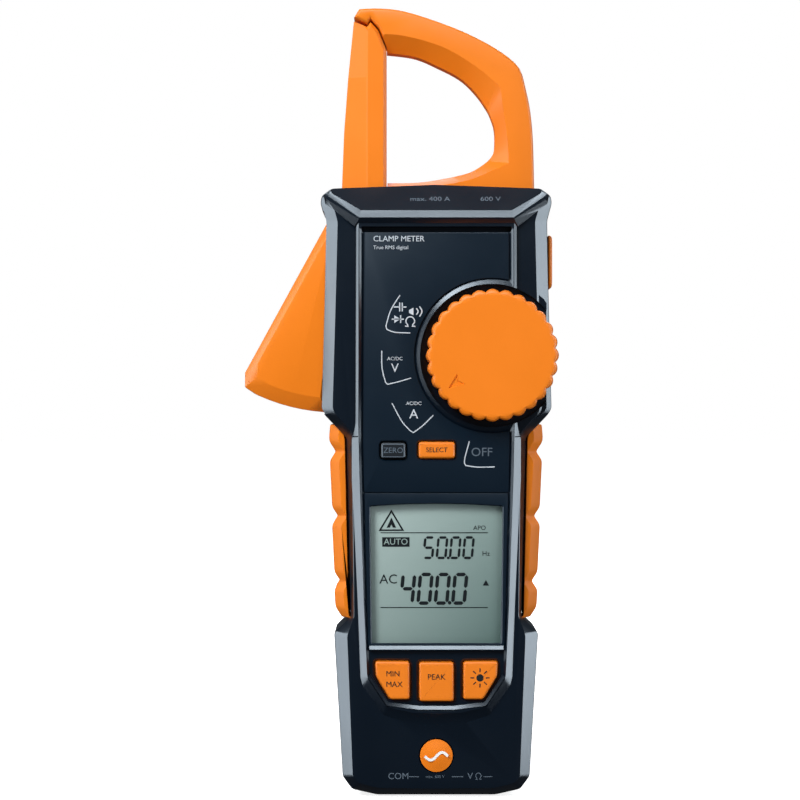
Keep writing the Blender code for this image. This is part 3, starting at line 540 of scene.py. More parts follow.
def front_cover():
    """The front half of the case, with its raised frame, hood, panel and selector well."""
    wall, face = eased(WALL_LINE, 0.9), eased(FACE_LINE, 0.9)
    near = [mix(a, b, 0.94) for a, b in zip(wall, face)]
    start = [mix(a, b, 0.05) for a, b in zip(wall, face)]
    rise = FACE - SIDE_START
    levels = [
        (FACE, [mix(a, b, 1.06) for a, b in zip(wall, face)]),
        (FACE + 0.1, near),
        (SIDE_START + rise * 0.08, start),
        (SIDE_START + 0.5, wall),
        (-PARTING - 0.4, wall),
        (-PARTING, grown(wall, -0.3)),
    ]
    piece = skin("front_cover", levels)
    carve(piece, "UNION", frame_ridge(), hood())
    carve(piece, "DIFFERENCE", slope())
    rim, edge = eased(PANEL_RIM, 0.6), eased(PANEL_EDGE, 0.6)
    carve(
        piece,
        "DIFFERENCE",
        skin("panel", [(-30, grown(rim, 0.1)), (RIDGE - 0.02, rim), (PANEL_FLOOR, edge)]),
        box_cutter("hood_shade", (-23.4, 23.4), (-17.6, -13.4), (177.1, 178.8)),
        cavity(),
    )
    selector_well(piece)
    key_holes = [grown(eased(key, 0.9), 0.35) for key in KEYS.values()]
    carve(
        piece,
        "DIFFERENCE",
        skin("display_opening", [(-20, grown(WINDOW, 0.5)), (-5, grown(WINDOW, 0.5))]),
        skin("badge_seat", [(-20, oval(0, 13, 5.75)), (FACE, oval(0, 13, 5.6)), (-14.6, oval(0, 13, 5.3))]),
        *[flared("key_hole", hole, PANEL_FLOOR, -5.0, 0.5) for hole in key_holes],
        *openings(),
    )
    return finish_piece(piece, "case", NAVY, "case_plastic", "front_cover")


def frame_ridge():
    """The raised frame round the panel; at the head its outer side turns down sharply."""
    foot, top = eased(FRAME_FOOT, 0.7), eased(FRAME_TOP, 0.7)
    knee = [mix(a, b, 0.85 if a[1] > HEAD_START else 0.42) for a, b in zip(top, foot)]
    crown = [(RIDGE, grown(top, -0.15)), (RIDGE + 0.15, top), (-16.3, knee)]
    return skin("frame", [*crown, (FACE + 0.1, foot), (-13.2, foot)])


def selector_well(piece):
    """Adds the collar round the selector and cuts its well and the hole for its neck."""
    collar = [(min(x, 24.3), z) for x, z in oval(*DIAL, WELL_RIM, 84)]
    inner = [(min(x, 24.3), z) for x, z in oval(*DIAL, WELL_RIM - 1.75, 84)]
    floor = [(min(x, 34.6), z) for x, z in oval(*DIAL, WELL_RIM, 84)]
    carve(
        piece,
        "UNION",
        skin("collar", [(-17.0, inner), (PANEL_FLOOR + 0.02, collar), (-11.6, collar)]),
        skin("well_floor", [(-14.6, floor), (-11.6, floor)]),
    )
    wall, neck = oval(*DIAL, WELL_RADIUS, 84), oval(*DIAL, 6.4, 32)
    well = skin("well", [(-30, wall), (WELL_FLOOR, wall)])
    carve(piece, "DIFFERENCE", well, skin("well_hole", [(-20, neck), (-5, neck)]))


def hood():
    """The visor over the panel: a bright rim that leans back, and an underside."""
    foot = mirrored([(0, 192.2), (32.7, 190.9), (35.4, 188.7), (34.9, 186.2), (25.6, 178.9), (0, 178.9)])
    lip = mirrored([(0, 192.2), (32.6, 190.8), (35.2, 188.7), (34.3, 187.3), (24.2, 181.0), (0, 181.0)])
    edge = mirrored([(0, 192.2), (32.5, 190.7), (34.6, 189.0), (33.9, 188.3), (24.1, 181.5), (0, 181.5)])
    crest = mirrored([(0, 191.9), (32.0, 190.4), (33.4, 189.8), (32.9, 189.3), (23.7, 183.9), (0, 183.9)])
    depths = (HOOD_RIM + 0.4, HOOD_RIM, HOOD_RIM + 0.3, -16.3, -12.5)
    piece = skin("hood", list(zip(depths, (crest, edge, lip, foot, foot))))
    for corner in piece.data.vertices:
        corner.co.y += HOOD_LEAN * max(corner.co.z - 181.5 * MM, 0)
    return piece


def slope():
    """What is cut away over the visor, so that the case leans back from its crest."""
    side = [(-30.0, 183.8), (HOOD_CREST, 183.8), (-9.6, 192.8), (-9.6, 202.0), (-30.0, 202.0)]
    points = [(x * MM, y * MM, z * MM) for x in (-50, 50) for y, z in side]
    faces = [(i, (i + 1) % 5, (i + 1) % 5 + 5, i + 5) for i in range(5)]
    mesh = bpy.data.meshes.new("slope")
    mesh.from_pydata(points, [], [(4, 3, 2, 1, 0), (5, 6, 7, 8, 9), *faces])
    shape = bmesh.new()
    shape.from_mesh(mesh)
    bmesh.ops.recalc_face_normals(shape, faces=shape.faces)
    shape.to_mesh(mesh)
    shape.free()
    sides = mirrored([(0, 183.8), (23.6, 183.8), (32.7, 189.2), (33.2, 190.4), (33.2, 205.0), (0, 205.0)])
    return carve(put("slope", mesh), "INTERSECT", skin("way", [(-40, sides), (0, sides)]))


def drawn_in(loop, amount):
    """The outline with its sides, its top and its bottom moved in, so that short corners stay sound."""
    made = []
    for x, z in loop:
        step = -amount if z > 150 else amount if z < 30 else 0
        made.append((x - math.copysign(min(amount, abs(x)), x), z + step))
    return made


def cavity():
    """The room inside the front cover."""
    wide = grown(WALL_LINE, -2.0)
    return skin("cavity", [(-12.9, drawn_in(wide, 1.8)), (-10.8, wide), (6.0, wide)])


def openings():
    """The ways into both covers for the jaws, the lever and the test sockets."""
    return (
        box_cutter("jaw_way", (-30.3, 31.6), (-7.9, 7.9), (170.0, 200.0)),
        box_cutter("lever_way", (-45.0, -32.0), (-11.8, 14.7), (120.1, 184.0)),
        box_cutter("socket_way", (-16.9, 16.9), (-8.3, 8.3), (-5.0, 5.0)),
    )


def screw_posts(name, front, back, radius, count):
    """A round post at each case screw, to join to the cover or to cut from it."""
    posts = []
    for x, z in CASE_SCREWS:
        ring = oval(x, z, radius, count)
        posts.append(skin(name, [(front, ring), (back, ring)]))
    return posts


def rear_cover():
    """The rear half of the case, with its screw posts, the way to the cells and the plate's seat."""
    wall, face = eased(WALL_LINE, 0.9), eased(FACE_LINE, 0.9)
    levels = [(PARTING, grown(wall, -0.3)), (PARTING + 0.4, wall)]
    for depth, share in ((13.2, 0), (15.0, 0.08), (16.6, 0.3), (17.8, 0.62), (18.3, 0.85), (BACK, 1.0)):
        levels.append((depth, [mix(a, b, share) for a, b in zip(wall, face)]))
    piece = skin("rear_cover", levels)
    wide = grown(WALL_LINE, -2.0)
    carve(piece, "DIFFERENCE", skin("room", [(-6.0, wide), (14.4, wide), (16.5, drawn_in(wide, 1.8))]))
    door = rectangle(-19.3, 19.3, 24.2, 86.3)
    label = eased(rectangle(-17.0, 17.0, 128.0, 156.0), 1.1)
    carve(piece, "UNION", *screw_posts("boss", PARTING + 0.3, 17.5, 2.8, 24))
    carve(
        piece,
        "DIFFERENCE",
        *screw_posts("seat", 15.6, 25.0, 2.5, 28),
        *screw_posts("bore", -5.0, 16.0, 1.25, 12),
        skin("door_way", [(14.0, door), (18.2, door), (18.52, grown(door, 0.3)), (25.0, grown(door, 0.3))]),
        skin("plate_seat", [(18.1, label), (18.51, grown(label, 0.3)), (25.0, grown(label, 0.3))]),
        *openings(),
    )
    return finish_piece(piece, "case", NAVY, "case_plastic", "rear_cover")


def grips():
    """The two soft waist pieces, with three finger notches each and a crowned outer side."""
    for side in (-1, 1):
        outer = [(33.5, 117.2), (33.9, 112.6)]
        for z in (108.2, 87.8, 67.2):
            edge = 33.8 - (113.0 - z) * 0.034
            outer += [(edge, z + 2.8), (edge - 1.7, z + 0.3), (edge - 1.7, z - 0.3), (edge, z - 2.8)]
        outer += [(31.9, 59.0), (29.6, 55.4)]
        inner = [(27.5, 56.6), (28.7, 112.4)]
        loop = [(side * x, z) for x, z in outer + inner]
        crest = [(side * (x - 3.0), z) for x, z in outer] + [(side * (x + 0.2), z) for x, z in inner]
        deep = [(side * (x - 0.4), z) for x, z in outer] + [(side * x, z) for x, z in inner]
        rounding = 1.1
        levels = [
            (-10.8, eased(crest, rounding)),
            (-8.4, eased(deep, rounding)),
            (-7.4, eased(loop, rounding)),
            (10.0, eased(loop, rounding)),
            (11.4, eased(deep, rounding)),
            (13.4, eased(crest, rounding)),
        ]
        name = "left_grip" if side < 0 else "right_grip"
        finish_piece(skin(name, levels), "case", TPE, "grip_rubber", name, sharp=40)


# ---------------------------------------------------------------- jaws and lever

UPPER_IN = [(-17.5, 235.4), (-7.1, 234.1), (0.5, 231), (8.1, 226.9), (13.4, 221.6), (16.9, 216.4)]
SIDE_IN = [(16.9, 216.4), (18.5, 212), (18.9, 207.8), (18.5, 203.4), (16.6, 200.7)]
LOWER_IN = [(16.6, 200.7), (15.2, 199.6), (10.4, 196.9), (0.5, 194.7), (-7.1, 193.8), (-17.5, 193.7)]
UPPER_OUT = [(-17.5, 240.6), (-10.2, 240.0), (0.5, 237.1), (8.1, 233.3), (15.7, 228), (20.4, 223.8)]
SIDE_OUT = [(20.4, 223.8), (21.5, 215.5), (22.7, 207.2), (23.1, 199.6)]
LOWER_OUT = [(23.1, 199.6), (18, 197.3), (10.4, 194.2), (0.5, 192.4), (-7.0, 191.7), (-17.5, 191.4)]
HOOK_MOUTH = [
    (-26.0, 245.9),
    (-21.8, 243.9),
    (-20.7, 245.4),
    (-18.1, 242.6),
    (-15.6, 236.6),
    (-15.3, 171.6),
    (31.2, 171.6),
]
HOOK_BACK = [
    (31.2, 191.3),
    (30.8, 207.0),
    (29.9, 216.5),
    (28.5, 223.3),
    (27.1, 228.6),
    (24.6, 232.0),
    (18.0, 236.7),
    (8.1, 241.7),
    (-3.5, 246.0),
    (-12.0, 248.3),
    (-19.2, 248.85),
    (-24.4, 248.6),
]


def jaw_shell(name, side, material, node_name):
    """One half of the fixed jaw: side is -1 for the front half and 1 for the rear."""
    outline = HOOK_MOUTH + curve_through(HOOK_BACK, 40)
    form = skin(
        name,
        [
            (side * 0.15, grown(outline, -0.2)),
            (side * 0.35, outline),
            (side * 6.4, outline),
            (side * 6.95, grown(outline, -0.2)),
            (side * 7.35, grown(outline, -0.6)),
            (side * 7.5, grown(outline, -1.0)),
        ],
    )
    inner, outer = [], []
    for near, far, count in ((UPPER_IN, UPPER_OUT, 26), (SIDE_IN, SIDE_OUT, 12), (LOWER_IN, LOWER_OUT, 22)):
        inner += curve_through(near, count)[:-1]
        outer += curve_through(far, count)[:-1]
    inner.append(LOWER_IN[-1])
    outer.append(LOWER_OUT[-1])
    beyond = [mix(a, b, 1.3) for a, b in zip(inner, outer)]
    levels = [(side * -1, inner), (side * 2.8, inner), (side * 7.52, outer), (side * 9.0, beyond)]
    carve(form, "DIFFERENCE", skin("window", levels))
    rooms = box_cutter("room", (-11.9, 28.6), tuple(sorted((side * -1, side * 4.6))), (171.0, 190.2))
    carve(form, "DIFFERENCE", rooms)
    return finish_piece(form, "case", material, "jaw_plastic", node_name)


def arm_shell(name, side, node_name):
    """One half of the sliding arm, with a wide chamfer on its outer side."""
    piece = copied(name, node_name)
    loop = [(-29.9, 174), (-15.7, 174), (-15.7, 235.4), (-18.4, 241.9), (-20.7, 244.4), (-21.9, 242.9)]
    loop += [(-26.1, 244.9), (-27.9, 226.9), (-29.2, 209.5), (-29.9, 191.3)]
    full = grown(loop, 0.02)
    shelf = list(full)
    for index, x in ((0, -22.0), (6, -21.9), (7, -22.0), (8, -22.0), (9, -22.0)):
        shelf[index] = (x, full[index][1])
    shelf[6] = (-21.95, 243.0)
    points = [
        (side * -1, full),
        (side * 4.6, full),
        (side * 7.2, [mix(a, b, 0.97) for a, b in zip(full, shelf)]),
        (side * 7.52, grown(shelf, -0.45)),
    ]
    carve(piece, "INTERSECT", skin("arm_form", points))
    return finish_piece(piece, "arm", ORANGE, "jaw_plastic", node_name, sharp=12)


def lever_point(reach, lean):
    return LEVER_PIN[0] + reach * math.sin(lean), LEVER_PIN[1] - reach * math.cos(lean)


def lever_outline(side_inset, end_inset):
    """The lever's outline with its outer side and its curved end moved inwards."""
    hub = 2.65 - side_inset
    reach = LEVER_REACH + 0.05 - end_inset
    across = (math.cos(LEVER_LEAN), math.sin(LEVER_LEAN))

    def edge(along):
        x, z = lever_point(along, LEVER_LEAN)
        return x - hub * across[0], z - hub * across[1]

    tip_lean = LEVER_LEAN - math.asin(hub / reach)
    first = math.radians(12)
    bottom = [lever_point(reach, first + (tip_lean - first) * i / 14) for i in range(13)]
    last = lever_point(reach - 0.5, tip_lean + math.radians(2))
    top = [(LEVER_PIN[0] - 2.7, LEVER_PIN[1] + 3.5), (LEVER_PIN[0] + 14.0, LEVER_PIN[1] + 3.5)]
    return [edge(reach - 4.5), edge(10.0), edge(2.0), *top, *bottom, last]


def squeeze_lever():
    """The lever, with a wide chamfer along its outer side and its curved end."""
    piece = copied("squeeze_lever", "squeeze_lever")
    levels = [
        (-11.52, lever_outline(2.5, 4.8)),
        (-11.4, lever_outline(2.3, 4.5)),
        (-8.5, lever_outline(0.15, 0.15)),
        (-8.1, lever_outline(0.0, 0.0)),
        (12.6, lever_outline(0.0, 0.0)),
        (14.0, lever_outline(1.0, 1.0)),
        (14.45, lever_outline(1.8, 1.8)),
    ]
    carve(piece, "INTERSECT", skin("lever_form", levels))
    return finish_piece(piece, "lever", ORANGE, "jaw_plastic", "squeeze_lever")


# ---------------------------------------------------------------- selector, keys and badge


def scalloped(radius, wave):
    """A round outline with a scallop for each fingertip."""
    made = []
    for i in range(DIAL_SCALLOPS * 8):
        turn = 2 * math.pi * i / (DIAL_SCALLOPS * 8)
        swing = abs(math.cos(turn * DIAL_SCALLOPS / 2)) ** 0.8
        reach = radius - wave * (1 - swing)
        made.append((DIAL[0] + reach * math.cos(turn), DIAL[1] + reach * math.sin(turn)))
    return made


def selector():
    """The selector knob, with a sunk arrow and a neck that reaches into the case."""
    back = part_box("dial_knob")[1].y / MM
    levels = [
        (DIAL_FRONT, scalloped(DIAL_RADIUS - 2.4, 0.1)),
        (DIAL_FRONT, scalloped(DIAL_RADIUS - 1.5, 0.25)),
        (DIAL_FRONT + 0.12, scalloped(DIAL_RADIUS - 1.15, 0.4)),
        (DIAL_FRONT + 0.5, scalloped(DIAL_RADIUS - 0.55, 0.7)),
        (DIAL_FRONT + 1.2, scalloped(DIAL_RADIUS - 0.15, 0.9)),
        (DIAL_FRONT + 2.4, scalloped(DIAL_RADIUS, 1.0)),
        (-14.2, scalloped(DIAL_RADIUS, 1.0)),
        (-13.7, scalloped(DIAL_RADIUS - 0.5, 1.0)),
    ]
    piece = skin("dial_knob", levels)
    neck = skin("neck", [(-14.5, oval(*DIAL, 5.9, 32)), (back, oval(*DIAL, 5.9, 32))])
    carve(piece, "UNION", neck)
    turn = math.radians(216.8)
    ahead = (math.cos(turn), math.sin(turn))
    side = (-ahead[1], ahead[0])
    middle = (DIAL[0] + 14.2 * ahead[0], DIAL[1] + 14.2 * ahead[1])

    def at(forward, sideways):
        return tuple(middle[i] + forward * ahead[i] + sideways * side[i] for i in (0, 1))

    arrow = [at(2.6, 0), at(-1.6, 1.7), at(-0.7, 0), at(-1.6, -1.7)]
    levels = [(-27, grown(arrow, 0.2)), (DIAL_FRONT, grown(arrow, 0.15)), (DIAL_FRONT + 0.45, arrow)]
    well = skin("arrow", levels)
    bore = skin("bore", [(-12.0, oval(*DIAL, 1.7, 16)), (back + 2, oval(*DIAL, 1.7, 16))])
    carve(piece, "DIFFERENCE", well, bore)
    finish_piece(piece, "dial", ORANGE, "jaw_plastic", "dial_knob", sharp=22)


KEY_BODIES = {
    "zero_key": "zero_button",
    "select_key": "select_button",
    "min_max_key": "min_max_button",
    "peak_key": "peak_button",
    "light_key": "light_button",
}


def keys():
    """The five rubber keys, each with a rounded top edge and a flange under the panel."""
    for name, outline in KEYS.items():
        loop = eased(outline, 0.9)
        rim = grown(loop, -0.75)
        centre = tuple(sum(p[i] for p in outline) / len(outline) for i in (0, 1))
        levels = [
            (-17.75, [mix(p, centre, 0.12) for p in rim]),
            (-17.75, rim),
            (-17.7, grown(loop, -0.5)),
            (-17.45, grown(loop, -0.2)),
            (-17.0, grown(loop, -0.02)),
            (-13.95, loop),
            (-13.9, grown(loop, 0.95)),
            (-13.2, grown(loop, 0.95)),
        ]
        material = KEY_DARK if name == "zero_key" else KEY_ORANGE
        finish_piece(skin(name, levels), KEY_BODIES[name], material, "key_rubber", name)


def badge():
    """The domed badge with a plain wave on it."""
    levels = []
    for k in range(1, 8):
        reach = 5.1 * k / 7
        levels.append((-15.3 - 1.1 * math.cos(math.pi / 2 * k / 7) ** 1.2, oval(0, 13, reach)))
    levels.append((-14.9, oval(0, 13, 5.1)))
    finish_piece(skin("badge", levels), "case", ORANGE, "badge_orange", "badge")
    wave = [(x / 10, 13 + 1.2 * math.sin(x / 10 * math.pi / 3.6)) for x in range(-36, 37, 3)]
    stroke("badge_wave", [wave], 0.85, -16.45, "case", BADGE_INK, "badge_orange")


# ---------------------------------------------------------------- printing


def ribbon(points, width):
    """One flat outline that follows a line with a given width; a closed line meets itself."""
    ends = (points[-2], points[1]) if points[0] == points[-1] else (None, None)
    sides = ([], [])
    for before, here, after in zip([ends[0], *points], points, [*points[1:], ends[1]]):
        arriving = Vector(here) - Vector(before or here)
        leaving = Vector(after or here) - Vector(here)
        arriving = (arriving if before else leaving).normalized()
        leaving = (leaving if after else arriving).normalized()
        along = arriving + leaving
        reach = width / max(along.length_squared, 0.8)
        sides[0].append((here[0] - along.y * reach, here[1] + along.x * reach))
        sides[1].append((here[0] + along.y * reach, here[1] - along.x * reach))
    return sides[0] + sides[1][::-1]


def ink(name, shapes, front, body, material, slot_name, thickness=0.05):
    """Flat printed shapes with a little thickness, joined into one piece."""
    shape = bmesh.new()
    for loop in shapes:
        if area(loop) < 0:
            loop = loop[::-1]
        lower = [shape.verts.new((x * MM, front * MM, z * MM)) for x, z in loop]
        upper = [shape.verts.new((x * MM, (front + thickness) * MM, z * MM)) for x, z in loop]
        shape.faces.new(lower)
        shape.faces.new(upper[::-1])
        for i in range(len(loop)):
            j = (i + 1) % len(loop)
            shape.faces.new((lower[i], upper[i], upper[j], lower[j]))
    mesh = bpy.data.meshes.new(name)
    bmesh.ops.recalc_face_normals(shape, faces=shape.faces)
    shape.to_mesh(mesh)
    shape.free()
    piece = put(name, mesh)
    return finish_piece(piece, body, material, slot_name)


def stroke(name, lines, width, front, body, material, slot_name):
    return ink(name, [ribbon(line, width) for line in lines], front, body, material, slot_name)


def words(name, text, x, z, height, front, body, material, slot_name, align="CENTER", lean=0.0):
    """A line of lettering, as a thin solid, centred at x with its middle at z, leaned back by an angle."""
    letters = bpy.data.curves.new(name, "FONT")
    letters.body = text
    letters.size = height * MM / 0.7
    letters.align_x = align
    letters.align_y = "CENTER"
    letters.extrude = 0.03 * MM
    letters.resolution_u = 3
    guide = put(name, letters)
    bpy.context.view_layer.update()
    graph = bpy.context.evaluated_depsgraph_get()
    mesh = bpy.data.meshes.new_from_object(guide.evaluated_get(graph))
    bpy.data.objects.remove(guide)
    stand = Matrix.Rotation(math.pi / 2 - lean, 4, "X")
    mesh.transform(Matrix.Translation((x * MM, front * MM, z * MM)) @ stand)
    return finish_piece(put(name, mesh), body, material, slot_name)


def bend(*points, count=14):
    return curve_through(points, count)


def ohm_sign(x, z, radius, foot, near, far, step):
    """The ohm sign: most of a ring, with two short feet."""
    turns = [math.radians(degrees) for degrees in range(-55, 236, step)]
    ring = [(x + radius * math.cos(t), z + radius * math.sin(t)) for t in turns]
    return [(x + far, foot), (x + near, foot), *ring, (x - near, foot), (x - far, foot)]


# Where and in what the panel and the case are printed
ON_FILM = (PRINT, "case", WHITE_INK, "face_film")
ON_CASE = (FACE - 0.06, "case", GREY_INK, "case_plastic")


def face_print():
    """The range signs round the selector and the headings of the panel."""
    other_mark = bend((-11.4, 157.3), (-14.3, 152.6), (-15.8, 147.6))
    other_mark += bend((-15.5, 146.6), (-13.0, 145.7), (-8.2, 145.5))
    volt_mark = bend((-17.1, 139.9), (-17.0, 134.4), (-15.9, 130.0))
    volt_mark += bend((-15.3, 129.4), (-12, 130.2), (-7.9, 131.4))
    ampere_mark = bend((-13.9, 123.5), (-10.8, 117.8), (-8.2, 114.9))
    ampere_mark += bend((-7.2, 114.3), (-4.4, 116.4), (-1.0, 119.7))
    off_mark = bend((10.3, 111.6), (8.9, 106.4), (8.8, 104.6))
    off_mark += bend((9.2, 104.0), (13.0, 103.5), (18.2, 103.6))
    lines = [other_mark, volt_mark, ampere_mark, off_mark]
    stroke("range_marks", lines, 0.32, *ON_FILM)
    signs = [
        ohm_sign(-8.2, 149.2, 1.35, 147.6, 0.7, 1.6, 15),
        [(-14.0, 149.8), (-10.2, 149.8)],
        [(-11.2, 151.0), (-11.2, 148.6)],
        [(-13.4, 153.6), (-11.6, 153.6)],
        [(-11.5, 155.0), (-11.5, 152.2)],
        [(-10.7, 155.0), (-10.7, 152.2)],
        [(-10.7, 153.6), (-9.4, 153.6)],
        bend((-6.3, 151.2), (-5.7, 152.2), (-6.3, 153.2), count=6),
        bend((-5.3, 150.6), (-4.5, 152.2), (-5.3, 153.8), count=6),
    ]
    stroke("range_signs", signs, 0.36, *ON_FILM)
    diode = [(-13.2, 151.0), (-13.2, 148.6), (-11.3, 149.8)]
    buzzer = [(-8.6, 152.6), (-8.6, 151.8), (-7.2, 151.0), (-7.2, 153.4)]
    ink("range_solids", [diode, buzzer], *ON_FILM)
    words("volt_sign", "V", -13.0, 134.4, 2.8, *ON_FILM)
    words("volt_note", "AC/DC", -13.0, 137.4, 1.1, *ON_FILM)
    words("ampere_sign", "A", -7.1, 120.0, 2.9, *ON_FILM)
    words("ampere_note", "AC/DC", -7.1, 123.4, 1.1, *ON_FILM)
    words("off_sign", "OFF", 14.2, 108.1, 2.7, PRINT, "case", GREY_INK, "face_film")
    words("heading", "CLAMP METER", -19.8, 174.9, 1.75, *ON_FILM, align="LEFT")
    words("subheading", "True RMS digital", -19.8, 172.2, 1.15, *ON_FILM, align="LEFT")


def segments(x, z, width, height, digit, slant=0.09):
    """The lit bars of one seven-bar digit, with its lower left corner at x and z."""
    bars = {"0": "abcdef", "4": "bcfg", "5": "acdfg"}[digit]
    half = height / 2
    ends = {
        "a": ((0, height), (width, height)),
        "b": ((width, height), (width, half)),
        "c": ((width, half), (width, 0)),
        "d": ((0, 0), (width, 0)),
        "e": ((0, half), (0, 0)),
        "f": ((0, height), (0, half)),
        "g": ((0, half), (width, half)),
    }
    thick = height * 0.062
    made = []
    for bar in bars:
        a, b = Vector(ends[bar][0]), Vector(ends[bar][1])
        along = (b - a).normalized()
        across = Vector((-along.y, along.x))
        a, b = a + along * thick * 0.35, b - along * thick * 0.35
        upper = [a + (along + across) * thick, b + (across - along) * thick]
        lower = [b - (along + across) * thick, a + (along - across) * thick]
        outline = [a, *upper, b, *lower]
        made.append([(x + p.x + p.y * slant, z + p.y) for p in outline])
    return made


def display():
    """The display glass and everything that is lit on it."""
    low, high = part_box("lcd_glass")
    front = low.y / MM
    loop = rectangle(low.x / MM, high.x / MM, low.z / MM, high.z / MM)
    glass = slab("lcd_glass", loop, front, high.y / MM, edge=0.15)
    # The display glass carries painted shade: pale at the upper left, darker towards the lower right
    finish_piece(glass, "case", PAINTED_SHADE_GLASS, "lcd_glass", "lcd_glass")
    over = front - 0.06
    small = [part for i, d in enumerate("5000") for part in segments(-4.0 + i * 4.15, 74.9, 2.7, 6.4, d)]
    large = [part for i, d in enumerate("4000") for part in segments(-11.2 + i * 5.45, 60.7, 3.6, 9.0, d)]
    dots = [oval(3.75, 74.9, 0.45, 10), oval(4.2, 60.8, 0.6, 10)]
    rules = [ribbon([(-17.5, z), (16.2, z)], 0.3) for z in (82.8, 59.3)]
    triangle = [(-17.7, 83.6), (-10.5, 83.6), (-14.1, 89.6), (-17.7, 83.6)]
    unit = [[(14.6, 66.2), (15.6, 68.0), (16.6, 66.2)]]
    flame = [(-15.6, 84.4), (-14.1, 87.6), (-12.6, 84.4), (-13.6, 84.4), (-14.1, 85.4), (-14.6, 84.4)]
    shapes = small + large + dots + rules + [ribbon(triangle, 0.5), flame] + unit
    ink("display_bars", shapes, over, "case", DARK_INK, "lcd_glass", 0.04)
    ink("auto_box", [rectangle(-17.0, -8.4, 78.4, 81.4)], over, "case", DARK_INK, "lcd_glass", 0.04)
    words("auto_word", "AUTO", -12.7, 79.9, 1.9, over - 0.06, "case", PAINTED_SHADE_GLASS, "lcd_glass")
    words("mode_word", "AC", -15.0, 68.1, 2.9, over, "case", DARK_INK, "lcd_glass")
    words("rate_word", "Hz", 15.6, 76.2, 1.5, over, "case", DARK_INK, "lcd_glass")
    words("hold_word", "APO", 13.6, 84.3, 1.4, over, "case", DARK_INK, "lcd_glass")


def face_film():
    """The printed film round the selector, and the clear window over the display with its dark border."""
    upper = mirrored([(0, 176.9), (22.6, 176.9), (22.9, 112.0), (22.6, 95.6), (0, 95.6)])
    film = slab("face_plate", eased(upper, 0.5), -16.66, -16.1, edge=0.08, steps=2)
    round_hole = oval(*DIAL, WELL_RIM + 0.15, 84)
    holes = [skin("hole", [(-20, round_hole), (-10, round_hole)])]
    for key in ("zero_key", "select_key"):
        holes.append(flared("hole", grown(eased(KEYS[key], 0.9), 0.45), -16.66, -10, 0.3))
    carve(film, "DIFFERENCE", *holes)
    finish_piece(film, "case", FILM, "face_film", "face_plate")
    lower = mirrored([(0, 95.3), (22.5, 95.3), (21.9, 70.0), (21.3, 47.6), (0, 47.3)])
    border = slab("window_border", eased(lower, 0.5), -16.66, -16.1, edge=0.08, steps=2)
    carve(border, "DIFFERENCE", flared("view", eased(WINDOW, 0.5), -16.66, -10, 0.35))
    finish_piece(border, "case", FILM, "clear_lens")
    pane = slab("display_lens", grown(eased(WINDOW, 0.5), -0.05), -16.5, -16.2, edge=0.05, steps=2)
    finish_piece(pane, "case", CLEAR, "clear_lens", "display_lens")
    crest = [(-20.9, 46.5), (20.9, 46.5), (20.8, 46.2), (-20.8, 46.2)]
    ledge = [(-21.0, 47.6), (21.0, 47.6), (20.7, 46.0), (-20.7, 46.0)]
    sill = skin("window_sill", [(-17.3, crest), (-16.7, ledge), (-16.0, ledge)])
    finish_piece(sill, "case", NAVY, "case_plastic")


def key_sill():
    """The lip under the lower keys, whose upper side leans back to the light."""
    reach = ((-21.3, 37.9), (-15.5, 29.2), (-5.4, 28.0), (5.4, 28.0), (15.5, 29.2), (21.3, 37.9))
    low = [(x * 1.01, z - 0.55) for x, z in reach]
    high = [(x * 0.97, z + 0.75) for x, z in reach]
    near = [(x, z - 0.3) for x, z in reach]
    levels = [(-17.2, low[::-1] + near), (-16.6, low[::-1] + high), (-15.8, low[::-1] + high)]
    finish_piece(skin("key_sill", levels), "case", NAVY, "case_plastic")


def key_print():
    """The words and the lamp sign on the keys."""
    words("zero_word", "ZERO", -13.5, 108.7, 1.7, -17.8, "zero_button", GREY_INK, "key_rubber")
    words("select_word", "SELECT", 0.1, 108.85, 1.45, -17.8, "select_button", DARK_INK, "key_rubber")
    words("min_word", "MIN", -13.6, 38.9, 1.7, -17.8, "min_max_button", DARK_INK, "key_rubber")
    words("max_word", "MAX", -13.2, 35.6, 1.7, -17.8, "min_max_button", DARK_INK, "key_rubber")
    words("peak_word", "PEAK", 0.0, 37.9, 1.7, -17.8, "peak_button", DARK_INK, "key_rubber")
    sun = [oval(13.6, 37.7, 1.15, 20)]
    for k in range(8):
        turn = math.pi * k / 4
        ray = [(13.6 + r * math.cos(turn), 37.7 + r * math.sin(turn)) for r in (1.8, 3.0)]
        sun.append(ribbon(ray, 0.35))
    ink("light_sign", sun, -17.8, "light_button", DARK_INK, "key_rubber")
    frame_lines = [grown(eased(KEYS["zero_key"], 0.9), -0.55)]
    closed = [line + [line[0]] for line in frame_lines]
    stroke("zero_outline", closed, 0.22, -17.79, "zero_button", GREY_INK, "key_rubber")


def case_print():
    """The limits on the hood and the signs over the test sockets."""
    words("com_word", "COM", -11.9, 6.5, 2.0, *ON_CASE)
    words("volt_word", "V", 10.6, 6.5, 2.0, *ON_CASE)
    lean = math.atan2(-9.6 - HOOD_CREST, 192.8 - 183.8)
    depth = HOOD_CREST + (187.6 - 183.8) * math.tan(lean) - 0.06
    words("ampere_limit", "max. 400 A", -2.0, 187.6, 1.9, depth, "case", GREY_INK, "case_plastic", lean=lean)
    words("volt_limit", "600 V", 17.0, 187.6, 1.9, depth, "case", GREY_INK, "case_plastic", lean=lean)
    words("limit_word", "max. 600 V", -0.4, 6.4, 0.9, *ON_CASE)
    ohm = ohm_sign(13.2, 6.7, 0.85, 5.6, 0.4, 0.9, 20)
    rules = [[(-8.6, 6.4), (-5.4, 6.4)], [(4.8, 6.4), (8.4, 6.4)], [(14.8, 6.4), (17.6, 6.4)]]
    stroke("socket_lines", [ohm, *rules], 0.22, *ON_CASE)


# ---------------------------------------------------------------- back, sockets and inner pieces


